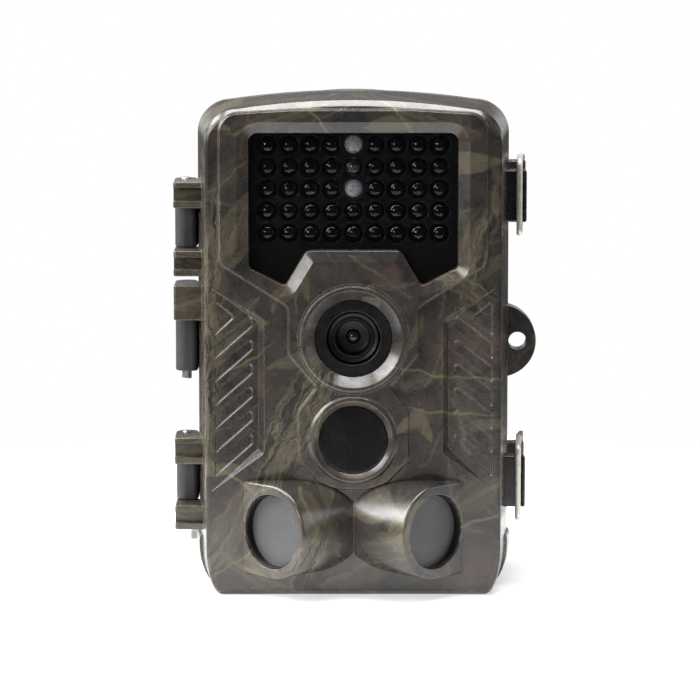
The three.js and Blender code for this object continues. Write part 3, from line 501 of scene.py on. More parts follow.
def glassy_material(name, colour, roughness, alpha=1.0, smear=0.03, shine=0.5):
    """A smooth dark or clear face with faint dust and smears; alpha lets what's behind show."""
    s = Shader(name)
    place = s.place_mm()
    normal, edge = s.edges(0.2)
    dust = s.fade(s.noise(place, 0.9, 5, 0.7), 0.52, 0.8, 0, 0.12)
    shade = s.mix(dust, colour, (0.12, 0.12, 0.12))
    shade = s.mix(s.times(edge, 0.6), shade, tuple(c * 1.5 + 0.03 for c in colour))
    gloss = s.fade(s.noise(place, 0.2, 4, 0.6), 0.35, 0.75, roughness, roughness + smear)
    return s.surface(shade, gloss, s.noise(place, 0.08, 2, 0.5), 0.02, 0.0001, normal,
                     Alpha=alpha, Specular_IOR_Level=shine)


def coated_glass_material():
    """Black lens glass with a violet coating that shows at a slant."""
    s = Shader("coated_glass")
    place = s.place_mm()
    facing = s.add("ShaderNodeLayerWeight")
    facing.inputs["Blend"].default_value = 0.35
    tint = s.ramp(facing.outputs["Facing"], [(0.0, (0.02, 0.008, 0.014)), (0.35, (0.05, 0.018, 0.05)),
                                             (0.8, (0.012, 0.006, 0.03))])
    gloss = s.fade(s.noise(place, 0.6, 3, 0.6), 0.3, 0.8, 0.03, 0.08)
    return s.surface(tint, gloss, s.noise(place, 0.1, 2, 0.5), 0.01, 0.0001,
                     Specular_IOR_Level=0.6)


def diffuser_material():
    """Milky grey plastic with fine rings and a slow change in shade across it."""
    s = Shader("sensor_diffuser")
    place = s.place_mm()
    normal, edge = s.edges(0.2)
    soft = s.fade(s.noise(place, 0.09, 3, 0.5), 0.35, 0.7, 0.0, 0.3)
    shade = s.mix(soft, (0.07, 0.072, 0.073), (0.095, 0.098, 0.1))
    fleck = s.fade(s.noise(place, 1.6, 5, 0.7), 0.55, 0.75, 0, 0.2)
    shade = s.mix(fleck, shade, (0.05, 0.05, 0.055))
    shade = s.mix(s.times(edge, 0.3), shade, (0.2, 0.2, 0.2))
    gloss = s.gloss(0.5, 0.34, 0.46)
    return s.surface(shade, gloss, s.noise(place, 1.2, 2, 0.5), 0.12, 0.00006, normal,
                     Subsurface_Weight=0.1, Subsurface_Scale=0.001)


def lamp_material():
    """Near-black resin with a very smooth face and faint flow lines."""
    s = Shader("lamp_black")
    place = s.place_mm()
    flow = s.noise(place, 0.5, 3, 0.6)
    shade = s.mix(s.fade(flow, 0.35, 0.7), (0.0018, 0.0018, 0.002), (0.005, 0.005, 0.0055))
    gloss = s.fade(flow, 0.3, 0.7, 0.05, 0.09)
    return s.surface(shade, gloss, flow, 0.01, 0.0001,
                     Specular_IOR_Level=0.7, Coat_Weight=0.5, Coat_Roughness=0.03)


def clear_lamp_material():
    """Water-clear resin: a painted pale highlight ring at the rim, bluish painted glints folded inside, and a
    faint painted glow.
    """
    s = Shader("clear_lamp")
    place = s.place_mm()
    x, _, z = s.split(place)
    rows = s.math("DIVIDE", s.minus(LED_TOP_Z, z), 2 * LED_PITCH_Z)
    from_row = s.times(s.minus(rows, s.math("ROUND", rows)), 2 * LED_PITCH_Z)
    r = s.math("SQRT", s.plus(s.math("POWER", x, 2.0), s.math("POWER", from_row, 2.0)))
    # Painted glints: the near-white bands of the ramp stand in for light caught inside the resin; the same
    # noise gives the bump.
    painted_glint_folds = s.noise(s.vector("MULTIPLY", place, (1.0, 1.0, 1.8)), 0.9, 4, 0.65, 1.2)
    shade = s.ramp(painted_glint_folds, [
        (0.34, (0.07, 0.075, 0.09)), (0.46, (0.42, 0.43, 0.47)), (0.55, (0.95, 0.95, 0.97)),
        (0.62, (0.45, 0.49, 0.62)), (0.75, (0.16, 0.16, 0.2))])
    # Painted highlight: a pale ring round each lamp's rim.
    rim = s.times(s.fade(r, 1.95, 2.15), s.fade(r, 2.4, 2.3))
    shade = s.mix(s.times(rim, 0.8), shade, (0.95, 0.93, 0.9))
    gloss = s.fade(s.noise(place, 1.0, 2, 0.5), 0.3, 0.7, 0.03, 0.1)
    # The faint bluish emission is a painted glow that brightens the lamp.
    return s.surface(shade, gloss, painted_glint_folds, 0.35, 0.0003, Specular_IOR_Level=0.8, Coat_Weight=1.0,
                     Coat_Roughness=0.02, Emission_Color=(0.8, 0.85, 1.0, 1), Emission_Strength=0.12)


def sensor_face_material():
    """A light sensor: a dark face with a zigzag track, under clear resin."""
    s = Shader("sensor_face")
    x, _, z = s.split(s.place_mm())
    row_z = LED_TOP_Z - LED_PITCH_Z
    zig = s.math("PINGPONG", s.plus(x, 10.0), 0.45)
    rise = s.minus(z, row_z - 0.45)
    line = s.math("ABSOLUTE", s.minus(rise, s.times(zig, 2.0)))
    inside = s.times(s.fade(line, 0.24, 0.1), s.fade(s.math("ABSOLUTE", x), 1.5, 1.4))
    noise = s.noise(s.place_mm(), 1.5, 3, 0.6)
    shade = s.mix(s.fade(noise, 0.4, 0.7, 0, 0.5), (0.03, 0.03, 0.03), (0.09, 0.09, 0.09))
    shade = s.mix(s.times(inside, 0.85), shade, (0.55, 0.5, 0.42))
    gloss = s.fade(noise, 0.3, 0.7, 0.04, 0.12)
    return s.surface(shade, gloss, noise, 0.05, 0.0001, Coat_Weight=1.0, Coat_Roughness=0.03)


def board_material():
    """Green solder mask with fine tracks, pale pads and faint grain."""
    s = Shader("circuit_board")
    place = s.place_mm()
    normal, edge = s.edges(0.2)
    cells = s.voronoi(s.vector("MULTIPLY", place, (0.5, 0.1, 0.5)), 1.0, "DISTANCE_TO_EDGE")
    tracks = s.fade(cells["Distance"], 0.09, 0.05)
    shade = s.mix(s.times(tracks, 0.5), (0.010, 0.075, 0.035), (0.03, 0.16, 0.08))
    dots = s.voronoi(place, 0.55)
    shade = s.mix(s.fade(dots["Distance"], 0.2, 0.14), shade, (0.5, 0.47, 0.4))
    shade = s.mix(s.times(edge, 0.5), shade, (0.35, 0.33, 0.2))
    gloss = s.gloss(0.8, 0.25, 0.4)
    return s.surface(shade, gloss, cells["Distance"], 0.2, 0.0001, normal)


def floor_material():
    """Matt white paper."""
    s = Shader("paper")
    fibre = s.noise(s.place_mm(), 0.4, 3, 0.6)
    shade = s.mix(s.fade(fibre, 0.3, 0.7, 0, 1), (0.55, 0.55, 0.55), (0.57, 0.57, 0.57))
    return s.surface(shade, 0.8, fibre, 0.02, Emission_Color=(1, 1, 1, 1), Emission_Strength=0.55)


# Moulded plastic and rubber: colour, roughness, grain, bump, lift and shine.
MOULDED = {
    "black_plastic": ((0.017, 0.017, 0.018), 0.42),
    "grainy_black": ((0.028, 0.028, 0.029), 0.5, 0.9, 0.9),
    "lens_black": ((0.0025, 0.0025, 0.0027), 0.38, 3.0, 0.03, 0.12, 0.3),
    "gasket_rubber": ((0.012, 0.012, 0.012), 0.7, 1.2, 0.3),
    "grey_rubber": ((0.30, 0.31, 0.32), 0.55, 1.4, 0.3, 0.2),
    "key_rubber": ((0.09, 0.095, 0.10), 0.6, 2.2, 0.3, 0.3),
    "smooth_black": ((0.012, 0.012, 0.0125), 0.26, 2.5, 0.05, 0.3),
    "mask_black": ((0.0022, 0.0022, 0.0024), 0.4, 2.5, 0.02, 0.25),
    "bracket_black": ((0.02, 0.02, 0.021), 0.48, 1.1, 0.5),
}

# Metals: colour, roughness and how metallic.
METALS = {
    "polished_steel": ((0.72, 0.69, 0.64), 0.26),
    "wire_steel": ((0.86, 0.82, 0.74), 0.42, 0.55),
    "plated_steel": ((0.62, 0.62, 0.62), 0.3),
    "turned_brass": ((0.66, 0.48, 0.2), 0.28),
}

# Smooth faces: colour, roughness, alpha, smear and shine.
FACES = {
    "smoked_window": ((0.002, 0.002, 0.0025), 0.04, 0.3),
    "dark_window": ((0.0045, 0.0045, 0.005), 0.22, 1.0, 0.08, 0.3),
    "display_face": ((0.01, 0.011, 0.013), 0.08, 1.0),
}

MATERIALS = {
    "camo_film": camo_material(),
    "lamp_black": lamp_material(),
    "clear_lamp": clear_lamp_material(),
    "sensor_face": sensor_face_material(),
    "sensor_diffuser": diffuser_material(),
    "coated_glass": coated_glass_material(),
    "circuit_board": board_material(),
    "paper": floor_material(),
}
for make, rows in ((moulded_material, MOULDED), (metal_material, METALS), (glassy_material, FACES)):
    for name, settings in rows.items():
        MATERIALS[name] = make(name, *settings)

# ---- mesh helpers


def mesh_object(name, points, faces):
    """A mesh object from points in millimetres, its faces turned outwards."""
    data = bpy.data.meshes.new(name)
    data.from_pydata([Vector(point) * MM for point in points], [], faces)
    work = bmesh.new()
    work.from_mesh(data)
    bmesh.ops.recalc_face_normals(work, faces=work.faces)
    work.to_mesh(data)
    work.free()
    return place_object(name, data)


def loft(name, rings, closed=False):
    """Skins matching rings of points, with flat ends unless the last ring joins the first."""
    count = len(rings[0])
    points = [point for ring in rings for point in ring]
    faces = []
    for ring in range(len(rings) if closed else len(rings) - 1):
        first, second = ring * count, (ring + 1) % len(rings) * count
        for i in range(count):
            j = (i + 1) % count
            faces.append((first + i, first + j, second + j, second + i))
    if not closed:
        faces.append(tuple(range(count)))
        faces.append(tuple(range(len(points) - 1, len(points) - count - 1, -1)))
    return mesh_object(name, points, faces)


def at_level(outline, y):
    return [(x, y, z) for x, z in outline]


def prism(name, outline, start, end):
    """Extrudes an outline of x and z from one y to another."""
    return loft(name, [at_level(outline, start), at_level(outline, end)])


def block(name, low, high, corner=0.4):
    """A moulded block: rounded upright corners and rims with small curved edges."""
    x0, y0, z0 = low
    x1, y1, z1 = high
    corners = [(x0, z0, corner), (x1, z0, corner), (x1, z1, corner), (x0, z1, corner)]
    rings = []
    for y, inset in curved_rim(y0, y1, corner * 0.6):
        rings.append([(x, y, z) for x, z in rounded(grown(corners, -inset), 4)])
    return loft(name, rings)


def rimmed(name, corners, start, end, radius, steps=6):
    """An upright prism of x, y and corner radius, with curved rims at its two levels."""
    rings = []
    for level, inset in curved_rim(start, end, radius):
        rings.append([(x, y, level) for x, y in rounded(grown(corners, -inset), steps)])
    return loft(name, rings)


def curved_rim(start, end, radius, steps=3):
    """Levels and insets that round the two rims of a prism."""
    way = 1 if end > start else -1
    turns = [math.pi / 2 * i / steps for i in range(steps + 1)]
    first = [(start + way * radius * (1 - math.sin(t)), radius * (1 - math.cos(t))) for t in reversed(turns)]
    last = [(end - way * radius * (1 - math.sin(t)), radius * (1 - math.cos(t))) for t in turns]
    return first + last


def turned(name, profile, centre, axis=(0, 1, 0), segments=96):
    """A turned piece. The profile lists radius and distance along the axis from the centre."""
    axis = Vector(axis).normalized()
    across = axis.orthogonal().normalized()
    up = axis.cross(across)
    solid_core = profile[0][0] == 0
    points, faces, rows = [], [], []
    for radius, along in profile:
        middle = Vector(centre) + axis * along
        if radius == 0:
            rows.append([len(points)] * segments)
            points.append(middle)
            continue
        rows.append(list(range(len(points), len(points) + segments)))
        for i in range(segments):
            turn = math.tau * i / segments
            points.append(middle + across * (radius * math.cos(turn)) + up * (radius * math.sin(turn)))
    if not solid_core:
        rows.append(rows[0])
    for lower, upper in zip(rows, rows[1:]):
        for i in range(segments):
            j = (i + 1) % segments
            face = []
            for index in (lower[i], lower[j], upper[j], upper[i]):
                if index not in face:
                    face.append(index)
            if len(face) > 2:
                faces.append(tuple(face))
    return mesh_object(name, points, faces)


def disc_profile(radius, start, end, edge=0.2):
    """A solid disc's profile with curved rims."""
    rim = [(radius - inset, level) for level, inset in curved_rim(start, end, edge)]
    return [(0, start)] + rim + [(0, end)]


def sweep(name, path, radius, sides=16):
    """A round wire along a path, with flat ends."""
    path = [Vector(point) for point in path]
    along = (path[1] - path[0]).normalized()
    normal = along.orthogonal().normalized()
    rings = []
    for i, point in enumerate(path):
        ahead = (path[min(i + 1, len(path) - 1)] - path[max(i - 1, 0)]).normalized()
        normal = (normal - ahead * normal.dot(ahead)).normalized()
        side = ahead.cross(normal)
        rings.append([
            point + (normal * math.cos(math.tau * k / sides) + side * math.sin(math.tau * k / sides)) * radius
            for k in range(sides)])
    return loft(name, rings)


def combine(base, others, operation="DIFFERENCE"):
    """Cuts the others from the base, or joins them to it, and removes them."""
    for other in others:
        step = base.modifiers.new("step", "BOOLEAN")
        step.solver = "MANIFOLD"
        step.operation = operation
        step.object = other
    graph = bpy.context.evaluated_depsgraph_get()
    result = bpy.data.meshes.new_from_object(base.evaluated_get(graph))
    base.modifiers.clear()
    base.data = result
    for other in others:
        bpy.data.objects.remove(other)
    return base


def join(base, *others):
    return combine(base, others, "UNION")


def cut(base, *others):
    return combine(base, others, "DIFFERENCE")


def bring_together(name, objects):
    """One object out of several that don't touch or only meet."""
    work = bmesh.new()
    for item in objects:
        work.from_mesh(item.data)
        bpy.data.objects.remove(item)
    data = bpy.data.meshes.new(name)
    work.to_mesh(data)
    work.free()
    return place_object(name, data)


def finished(made, body, look, slot, *nodes):
    """Shades a piece, gives it its material, ties it to its body and hides its CAD nodes. Its slot is not
    used.
    """
    made.data.materials.clear()
    made.data.materials.append(MATERIALS[look])
    for face in made.data.polygons:
        face.use_smooth = True
        face.material_index = 0
    made.data.set_sharp_from_angle(angle=math.radians(SHARP_ANGLE))
    weighted = made.modifiers.new("weighted_normals", "WEIGHTED_NORMAL")
    weighted.keep_sharp = True
    weighted.weight = 100
    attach(made, body)
    if nodes:
        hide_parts(*nodes)
    return made


# ---- outlines


def grown(corners, distance):
    """Corners of x, z and radius moved outwards by a distance. They run anticlockwise."""
    out = []
    for i, (x, z, radius) in enumerate(corners):
        before = Vector(corners[i - 1][:2])
        here = Vector((x, z))
        after = Vector(corners[(i + 1) % len(corners)][:2])
        a, b = (here - before).normalized(), (after - here).normalized()
        normals = Vector((a.y, -a.x)) + Vector((b.y, -b.x))
        shift = normals * (distance / (1 + a.dot(b)))
        convex = a.x * b.y - a.y * b.x > 0
        out.append((x + shift.x, z + shift.y, max(0.05, radius + (distance if convex else -distance))))
    return out


def rounded(corners, steps=7):
    """Points round an outline of x, z and radius, with every corner drawn as an arc."""
    points = []
    for i, (x, z, radius) in enumerate(corners):
        here = Vector((x, z))
        before = Vector(corners[i - 1][:2])
        after = Vector(corners[(i + 1) % len(corners)][:2])
        a, b = (here - before).normalized(), (after - here).normalized()
        turn = math.atan2(a.x * b.y - a.y * b.x, a.dot(b))
        reach = radius * math.tan(abs(turn) / 2)
        room = 0.48 * min((here - before).length, (after - here).length)
        if reach > room:
            radius *= room / reach
        centre = here + (b - a).normalized() * (radius / math.cos(turn / 2))
        start = here - a * radius * math.tan(abs(turn) / 2) - centre
        for k in range(steps + 1):
            angle = turn * k / steps
            points.append((
                centre.x + start.x * math.cos(angle) - start.y * math.sin(angle),
                centre.y + start.x * math.sin(angle) + start.y * math.cos(angle)))
    return points


def mirrored(right_half):
    """A whole anticlockwise outline from its right half, listed from the bottom up."""
    return right_half + [(-x, z, radius) for x, z, radius in reversed(right_half)]


def quarter(cx, cz, rx, rz, start, steps=10):
    turns = [start + math.pi / 2 * i / steps for i in range(steps + 1)]
    return [(cx + rx * math.cos(t), cz + rz * math.sin(t)) for t in turns]


def case_outline(half, low, high, sag=2.4, top=8.8, foot_x=6.0, foot_z=12.0):
    """The case from the front: an arched top, round corners and a flat base."""
    edge = high - sag
    flat = half - top
    points = quarter(half - foot_x, low + foot_z, foot_x, foot_z, -math.pi / 2)
    points += quarter(flat, edge - top, top, top, 0)
    for i in range(1, 24):
        x = flat * (1 - i / 12)
        points.append((x, high - sag * (x / flat) ** 2))
    points += quarter(-flat, edge - top, top, top, math.pi / 2)
    points += quarter(-half + foot_x, low + foot_z, foot_x, foot_z, math.pi)
    return points


def case_ring(y, *sizes, **more):
    return at_level(case_outline(*sizes, **more), y)


PLATE_CORNERS = mirrored([
    (4.5, 29.4, 12), (9, 31.2, 2.5), (14.6, 37, 3), (14.6, 50.6, 2.2), (9.6, 57, 1.2), (17.3, 66, 3),
    (17.3, 79, 3.2), (35.8, 90.5, 3.2), (35.8, 130.3, 5), (16, 131.5, 60),
])
WINDOW_CORNERS = mirrored([(12.6, 94, 2.4), (18.3, 84.4, 1.1), (28, 89.3, 1.6), (28, 125.3, 2.4)])

# ---- front shell


def tube_axes(side):
    """A side tube's outward axis, the way along its end face, its foot and its bore's centre."""
    axis = Vector((side, -1, 0)).normalized()
    along = Vector((-side, -1, 0)).normalized()
    foot = Vector((side * TUBE_FOOT_X, FACE_Y, TUBE_Z))
    return axis, along, foot, foot + along * TUBE_CENTRE


def pocket_depth(x, outer=38.4):
    """How far the pocket's sloping floor lies behind the panel at x."""
    return (outer - x) * 0.17


def pocket(side, grow=0.0):
    """The wedge-shaped pocket beside the lens, deeper towards the middle, with sloping walls."""
    outer = 38.4 + grow
    mouth = [(24 - grow, 38.9 - grow, 1.6), (outer, 28.4 - grow, 0.2), (outer, 83.9 + grow, 0.2),
             (24 - grow, 75.2 + grow, 1.9)]
    floor = [(25.6 - grow, 40.0 - grow, 1.0), (outer, 28.4 - grow, 0.2), (outer, 83.9 + grow, 0.2),
             (25.6 - grow, 74.4 + grow, 1.3)]
    mouth_points, floor_points = rounded(mouth), rounded(floor)
    rings = [[(side * x, FACE_Y - 3, z) for x, z in mouth_points]]
    for share in (0.0, 0.5, 1.0):
        ring = []
        for (mouth_x, mouth_z), (floor_x, floor_z) in zip(mouth_points, floor_points):
            low = pocket_depth(floor_x, outer) + grow
            ring.append((side * (mouth_x + (floor_x - mouth_x) * share), FACE_Y + low * share - 0.001,
                         mouth_z + (floor_z - mouth_z) * share))
        rings.append(ring)
    return loft("pocket", rings)


def groove(side, corners, depth=0.45):
    """One slanting groove in a pocket's floor, with round corners and sloping walls."""
    rings = []
    for level, spread in ((-3.0, 0.15), (-0.02, 0.15), (depth, -0.3)):
        outline = rounded(grown(corners, spread), 6)
        rings.append([(side * x, FACE_Y - 3 if level < -1 else FACE_Y + pocket_depth(x) + level, z)
                      for x, z in outline])
    return loft("groove", rings)


def pocket_grooves(side):
    made = [groove(side, [(37.3, 71, 0.2), (37.3, 80.4, 0.6), (31.8, 75.9, 0.9)])]
    for i in range(1, 7):
        z = 71 - i * 6.4
        made.append(groove(side, [
            (37.3, z, 0.2), (37.3, z + 4.2, 0.4), (27.2, z + 12, 1.1), (27.2, z + 8.7, 0.5)]))
    return made


def hinge_lug(z0, z1):
    """A rounded block on the front half's side with an arm that reaches the hinge pin."""
    corners = [
        (HINGE_X - 3.05, -9, 0.7), (-40.6, -9, 0.2), (-40.6, RIM_Y, 0.2), (-42.7, RIM_Y, 0.2),
        (-42.7, HINGE_Y + 3.05, 3.0), (HINGE_X - 3.05, HINGE_Y + 3.05, 3.0),
    ]
    return rimmed("lug", corners, z0, z1, 0.4)


HINGES = {
    "upper": ([(103.95, 111.1), (85.4, 92.35)], (92.5, 103.8)),
    "middle": ([(73.35, 82.9)], (58.3, 73.2)),
    "lower": ([(33.75, 41.1), (15.7, 22.35)], (22.5, 33.6)),
}
EAR_Z = 66.7
LUG_POCKETS = [(105.8, 109.6), (87.2, 90.6), (35.6, 39.6), (17.4, 20.6)]


def padlock_ear(y0, y1):
    """Half of the ear for a padlock: a round tab with a hole."""
    turns = [-1.33 + 2.66 * i / 24 for i in range(25)]
    tip = [(39.95 + 10 * math.cos(t), EAR_Z + 10 * math.sin(t)) for t in turns]
    ear = prism("ear", [(41, 57), *tip, (41, 76.4)], y0, y1)
    hole = turned("hole", disc_profile(2.45, y0 - 1, y1 + 1), (44.9, 0, EAR_Z), segments=48)
    return cut(ear, hole)


def rod(name, centre, radius, start, end, axis=(0, 1, 0), edge=0.1, segments=64):
    return turned(name, disc_profile(radius, start, end, edge), centre, axis, segments)


def boot(sections):
    """The wider foot of one half, with a curved upper shoulder."""
    rings = []
    for y, half, low in sections:
        outline = quarter(half - 6, low + 12, 6, 12, -math.pi / 2)
        outline += quarter(half - 1.5, BOOT_TOP - 1.5, 1.5, 1.5, 0, 5)
        outline += quarter(-half + 1.5, BOOT_TOP - 1.5, 1.5, 1.5, math.pi / 2, 5)
        outline += quarter(-half + 6, low + 12, 6, 12, math.pi)
        rings.append(at_level(outline, y))
    return loft("boot", rings)


def front_outer():
    """The front half's outside: drafted sides and a soft chamfer round the face."""
    rings = [case_ring(RIM_Y, HALF_WIDTH, 0, HEIGHT)]
    for rise, run in ((0, 0), (0.05, 0.01), (0.12, 0.05), (0.5, 0.4), (0.8, 0.7), (0.92, 0.84), (1, 1)):
        narrowing = 0.35 * run + 0.8 * max(0, rise - 0.8) / 0.2
        rings.append(case_ring(-19.8 - 1.9 * rise, 40.0 - narrowing, 1.6 * run, 134.2 - 2.0 * run,
                               top=8.8 - 0.9 * run, foot_x=4.4 - 0.9 * run, foot_z=12.6))
    return loft("outer", rings)


def raised_plate():
    """The raised plate with a small step and a curved rim."""
    rings = []
    for level, spread in ((0.8, 0.6), (0.02, 0.6), (-0.08, 0.42), (-0.7, 0.12), (-0.92, -0.04), (-1.0, -0.3)):
        rings.append(at_level(rounded(grown(PLATE_CORNERS, spread)), FACE_Y + level))
    return loft("plate", rings)


def front_shell():
    outer = front_outer()
    foot = boot([(RIM_Y, BOOT_HALF, 0), (-8, BOOT_HALF - 1.1, 0)])
    lens_ring = turned("lens_ring", [
        (0, RING_Y), (13.9, RING_Y), (14.15, RING_Y + 0.06), (14.3, RING_Y + 0.3), (14.45, PLATE_Y - 0.02),
        (15.0, PLATE_Y - 0.02), (15.15, PLATE_Y + 0.15), (15.15, -17.5), (0, -17.5),
    ], (0, 0, LENS_Z), segments=160)
    pir_ring = turned("sensor_ring", [
        (0, RING_Y), (11.3, RING_Y), (11.6, RING_Y + 0.12), (11.85, RING_Y + 0.4), (12.2, PLATE_Y + 0.1),
        (11.9, -21.4), (11.9, -19), (0, -19),
    ], (0, 0, PIR_Z), segments=144)
    lugs = [hinge_lug(z0, z1) for spans, _ in HINGES.values() for z0, z1 in spans]
    body = join(outer, foot, raised_plate(), lens_ring, pir_ring, padlock_ear(-0.7, RIM_Y), *lugs)

    cavity = loft("cavity", [
        case_ring(RIM_Y + 1, 40.1, 2.3, HEIGHT - 2.2, top=7, foot_x=4.5, foot_z=10),
        case_ring(-19.2, 37.7, 2.3, 132, top=6.6, foot_x=3, foot_z=10.6),
    ])
    lens_seat = rod("lens_seat", (0, 0, LENS_Z), 15.1, -25, -17.5)
    sensor_seat = rod("sensor_seat", (0, 0, PIR_Z), 11.9, -25, -19)
    cavity = cut(cavity, pocket(1, 2), pocket(-1, 2), lens_seat, sensor_seat)
    bevel = loft("bevel", [
        at_level(rounded(grown(WINDOW_CORNERS, spread)), y) for y, spread in (
            (PLATE_Y - 1, 3.3), (PLATE_Y - 0.02, 3.3), (PLATE_Y + 0.1, 3.1), (PLATE_Y + 1.15, 0.45),
            (PLATE_Y + 1.4, 0.2), (WINDOW_Y - 0.1, 0.0))])
    opening = prism("opening", rounded(WINDOW_CORNERS), -21.4, -16)
    lens_cone = turned("lens_cone", [
        (0, RING_Y - 0.4), (13.45, RING_Y - 0.4), (13.3, RING_Y), (13.1, RING_Y + 0.08),
        (LENS_BORE + 0.15, -20.95), (LENS_BORE, -20.7), (LENS_BORE, -10), (0, -10),
    ], (0, 0, LENS_Z), segments=160)
    pir_cone = turned("sensor_cone", [
        (0, RING_Y - 0.4), (10.75, RING_Y - 0.4), (10.6, RING_Y), (10.45, RING_Y + 0.08),
        (PIR_BORE + 0.1, -22.5), (PIR_BORE, -22.3), (PIR_BORE, -10), (0, -10),
    ], (0, 0, PIR_Z), segments=144)
    tools = [cavity, bevel, opening, lens_cone, pir_cone]
    for side in (1, -1):
        axis, _, _, centre = tube_axes(side)
        tools.append(pocket(side))
        tools.extend(pocket_grooves(side))
        tools.append(rod("tube_bore", centre, TUBE_BORE, -20, 1, axis))
    for z0, z1 in LUG_POCKETS:
        tools.append(block("lug_pocket", (HINGE_X - 4, -11, z0), (-41, -6.2, z1), 0.35))
    for spans, _ in HINGES.values():
        low, high = min(spans)[0], max(spans)[1]
        span = (70, 81.6) if len(spans) == 1 else (low + 1.2, high + 1)
        tools.append(rod("pin_hole", (HINGE_X, HINGE_Y, 0), 1.36, *span, axis=UP))
    finished(cut(body, *tools), "front_half", "camo_film", "camo_plastic", "front_shell")


front_shell()


def keeper(z):
    """The smooth boss that a latch's wire hooks over, with its lip."""
    corners = [(41, -6.1, 0.1), (46.0, -6.1, 0.4), (46.4, -6.8, 0.3), (47, -6.3, 0.4), (47, -2.6, 0.7),
               (45.6, -1.2, 0.6), (41, -1.2, 0.1)]
    return rimmed("keeper", corners, z - 6.8, z + 7.4, 0.6)


# ---- side sensor hood


def sensor_tube(side):
    """One D-shaped tube at 45 degrees, cut off at the middle and at the panel."""
    axis, along, foot, _ = tube_axes(side)
    rings = []
    for depth, inset in [(-49.3, 0.0)] + curved_rim(-10, 0, 0.86, 4)[5:]:
        radius = TUBE_RADIUS - inset
        outline = [(-30.0, -radius)]
        outline += [(TUBE_CENTRE + radius * math.sin(t), -radius * math.cos(t))
                    for t in (math.pi * i / 48 for i in range(49))]
        outline.append((-30.0, radius))
        rings.append([foot + along * a + Vector(UP) * b + axis * depth for a, b in outline])
    tube = loft("tube", rings)
    half = prism("half", [(0, 0), (side * 60, 0), (side * 60, 40), (0, 40)], -60, FACE_Y - 0.08)
    return combine(tube, [half], "INTERSECT")


def side_sensor_hood():
    hood = join(sensor_tube(1), sensor_tube(-1))
    bores = []
    for side in (1, -1):
        axis, _, _, centre = tube_axes(side)
        bores.append(turned("bore", [
            (0, -20), (TUBE_BORE, -20), (TUBE_BORE, -0.35), (TUBE_BORE + 0.12, -0.1),
            (TUBE_BORE + 0.35, 0.01), (TUBE_BORE + 0.5, 2), (0, 2)], centre, axis, 128))
    finished(cut(hood, *bores), "front_half", "camo_film", "camo_plastic", "side_sensor_hood")


side_sensor_hood()


def sensor_window(name, side):
    """The grey moulded lens of a side sensor: a thin disc with very shallow rings."""
    axis, _, _, centre = tube_axes(side)
    radius = TUBE_BORE - 0.15
    profile = [(0, -2.8)]
    for i in range(1, 14):
        ridge = radius * i / 14
        profile += [(ridge - 0.12, -2.8), (ridge, -2.84), (ridge + 0.1, -2.8)]
    profile += [(radius - 0.15, -2.8), (radius, -2.95), (radius, -3.6), (0, -3.6)]
    made = turned(name, profile, centre, axis, 128)
    finished(made, "front_half", "sensor_diffuser", "sensor_diffuser", name)
    outer, inner = TUBE_BORE - 0.03, TUBE_BORE - 0.35
    sleeve = turned(name + "_sleeve", [(outer, -2.8), (outer, -0.9), (inner, -0.9), (inner, -2.8)],
                    centre, axis, 128)
    finished(sleeve, "front_half", "lens_black", "black_plastic")


sensor_window("left_sensor_window", -1)
sensor_window("right_sensor_window", 1)

# ---- flash


def flash_places():
    """Each flash position: column, row, x and z."""
    return [(column, row, (column - 4) * LED_PITCH_X, LED_TOP_Z - row * LED_PITCH_Z)
            for row in range(5) for column in range(9)]


def is_centre(column, row):
    return column == 4 and row < 3


def flash_window():
    outline = rounded(grown(WINDOW_CORNERS, -0.15))
    inner = rounded(grown(WINDOW_CORNERS, -0.4))
    pane = loft("flash_window", [
        at_level(inner, WINDOW_Y), at_level(outline, WINDOW_Y + 0.15), at_level(outline, WINDOW_Y + 1.2)])
    finished(pane, "front_half", "smoked_window", "smoked_window", "flash_window")


def flash_mask():
    """The black mask with a countersunk hole round every lamp."""
    mask = prism("flash_mask", rounded(grown(WINDOW_CORNERS, 0.9)), MASK_Y, MASK_Y + 1.2)
    holes = []
    for _, _, x, z in flash_places():
        holes.append(turned("hole", [
            (0, MASK_Y - 1), (2.95, MASK_Y - 1), (2.85, MASK_Y), (2.65, MASK_Y + 0.25), (2.65, MASK_Y + 2),
            (0, MASK_Y + 2),
        ], (x, 0, z), segments=40))
    finished(cut(mask, bring_together("holes", holes)), "front_half", "mask_black", "black_plastic",
             "flash_mask")


def dome(x, z, radius=2.4, height=2.4):
    """A lamp's round body with a domed tip."""
    tip = MASK_Y - 0.5
    profile = [(0, tip)]
    for i in range(1, 13):
        turn = math.pi / 2 * i / 12
        profile.append((radius * math.sin(turn), tip + height * (1 - math.cos(turn))))
    profile += [(radius, LED_BASE_Y), (0, LED_BASE_Y)]
    return turned("lamp", profile, (x, 0, z), segments=40)


def flash_lamps():
    lamps = [dome(x, z) for column, row, x, z in flash_places() if not is_centre(column, row)]
    finished(bring_together("infrared_lamps", lamps), "front_half", "lamp_black", "smoked_window",
             "infrared_flash_board")
    board = prism("flash_board", rounded(grown(WINDOW_CORNERS, 1.4)), -10, -8.4)
    finished(board, "front_half", "circuit_board", "circuit_board")
    for row, name in enumerate(("upper_indicator_lamp", "light_sensor", "lower_indicator_lamp")):
        look = "sensor_face" if row == 1 else "clear_lamp"
        finished(dome(0, LED_TOP_Z - row * LED_PITCH_Z), "front_half", look, "lens_glass", name)


flash_window()
flash_mask()
flash_lamps()

# ---- lens


def place_lens_piece(name, profile, look, slot, segments):
    finished(turned(name, profile, (0, 0, LENS_Z), segments=segments), "front_half", look, slot, name)


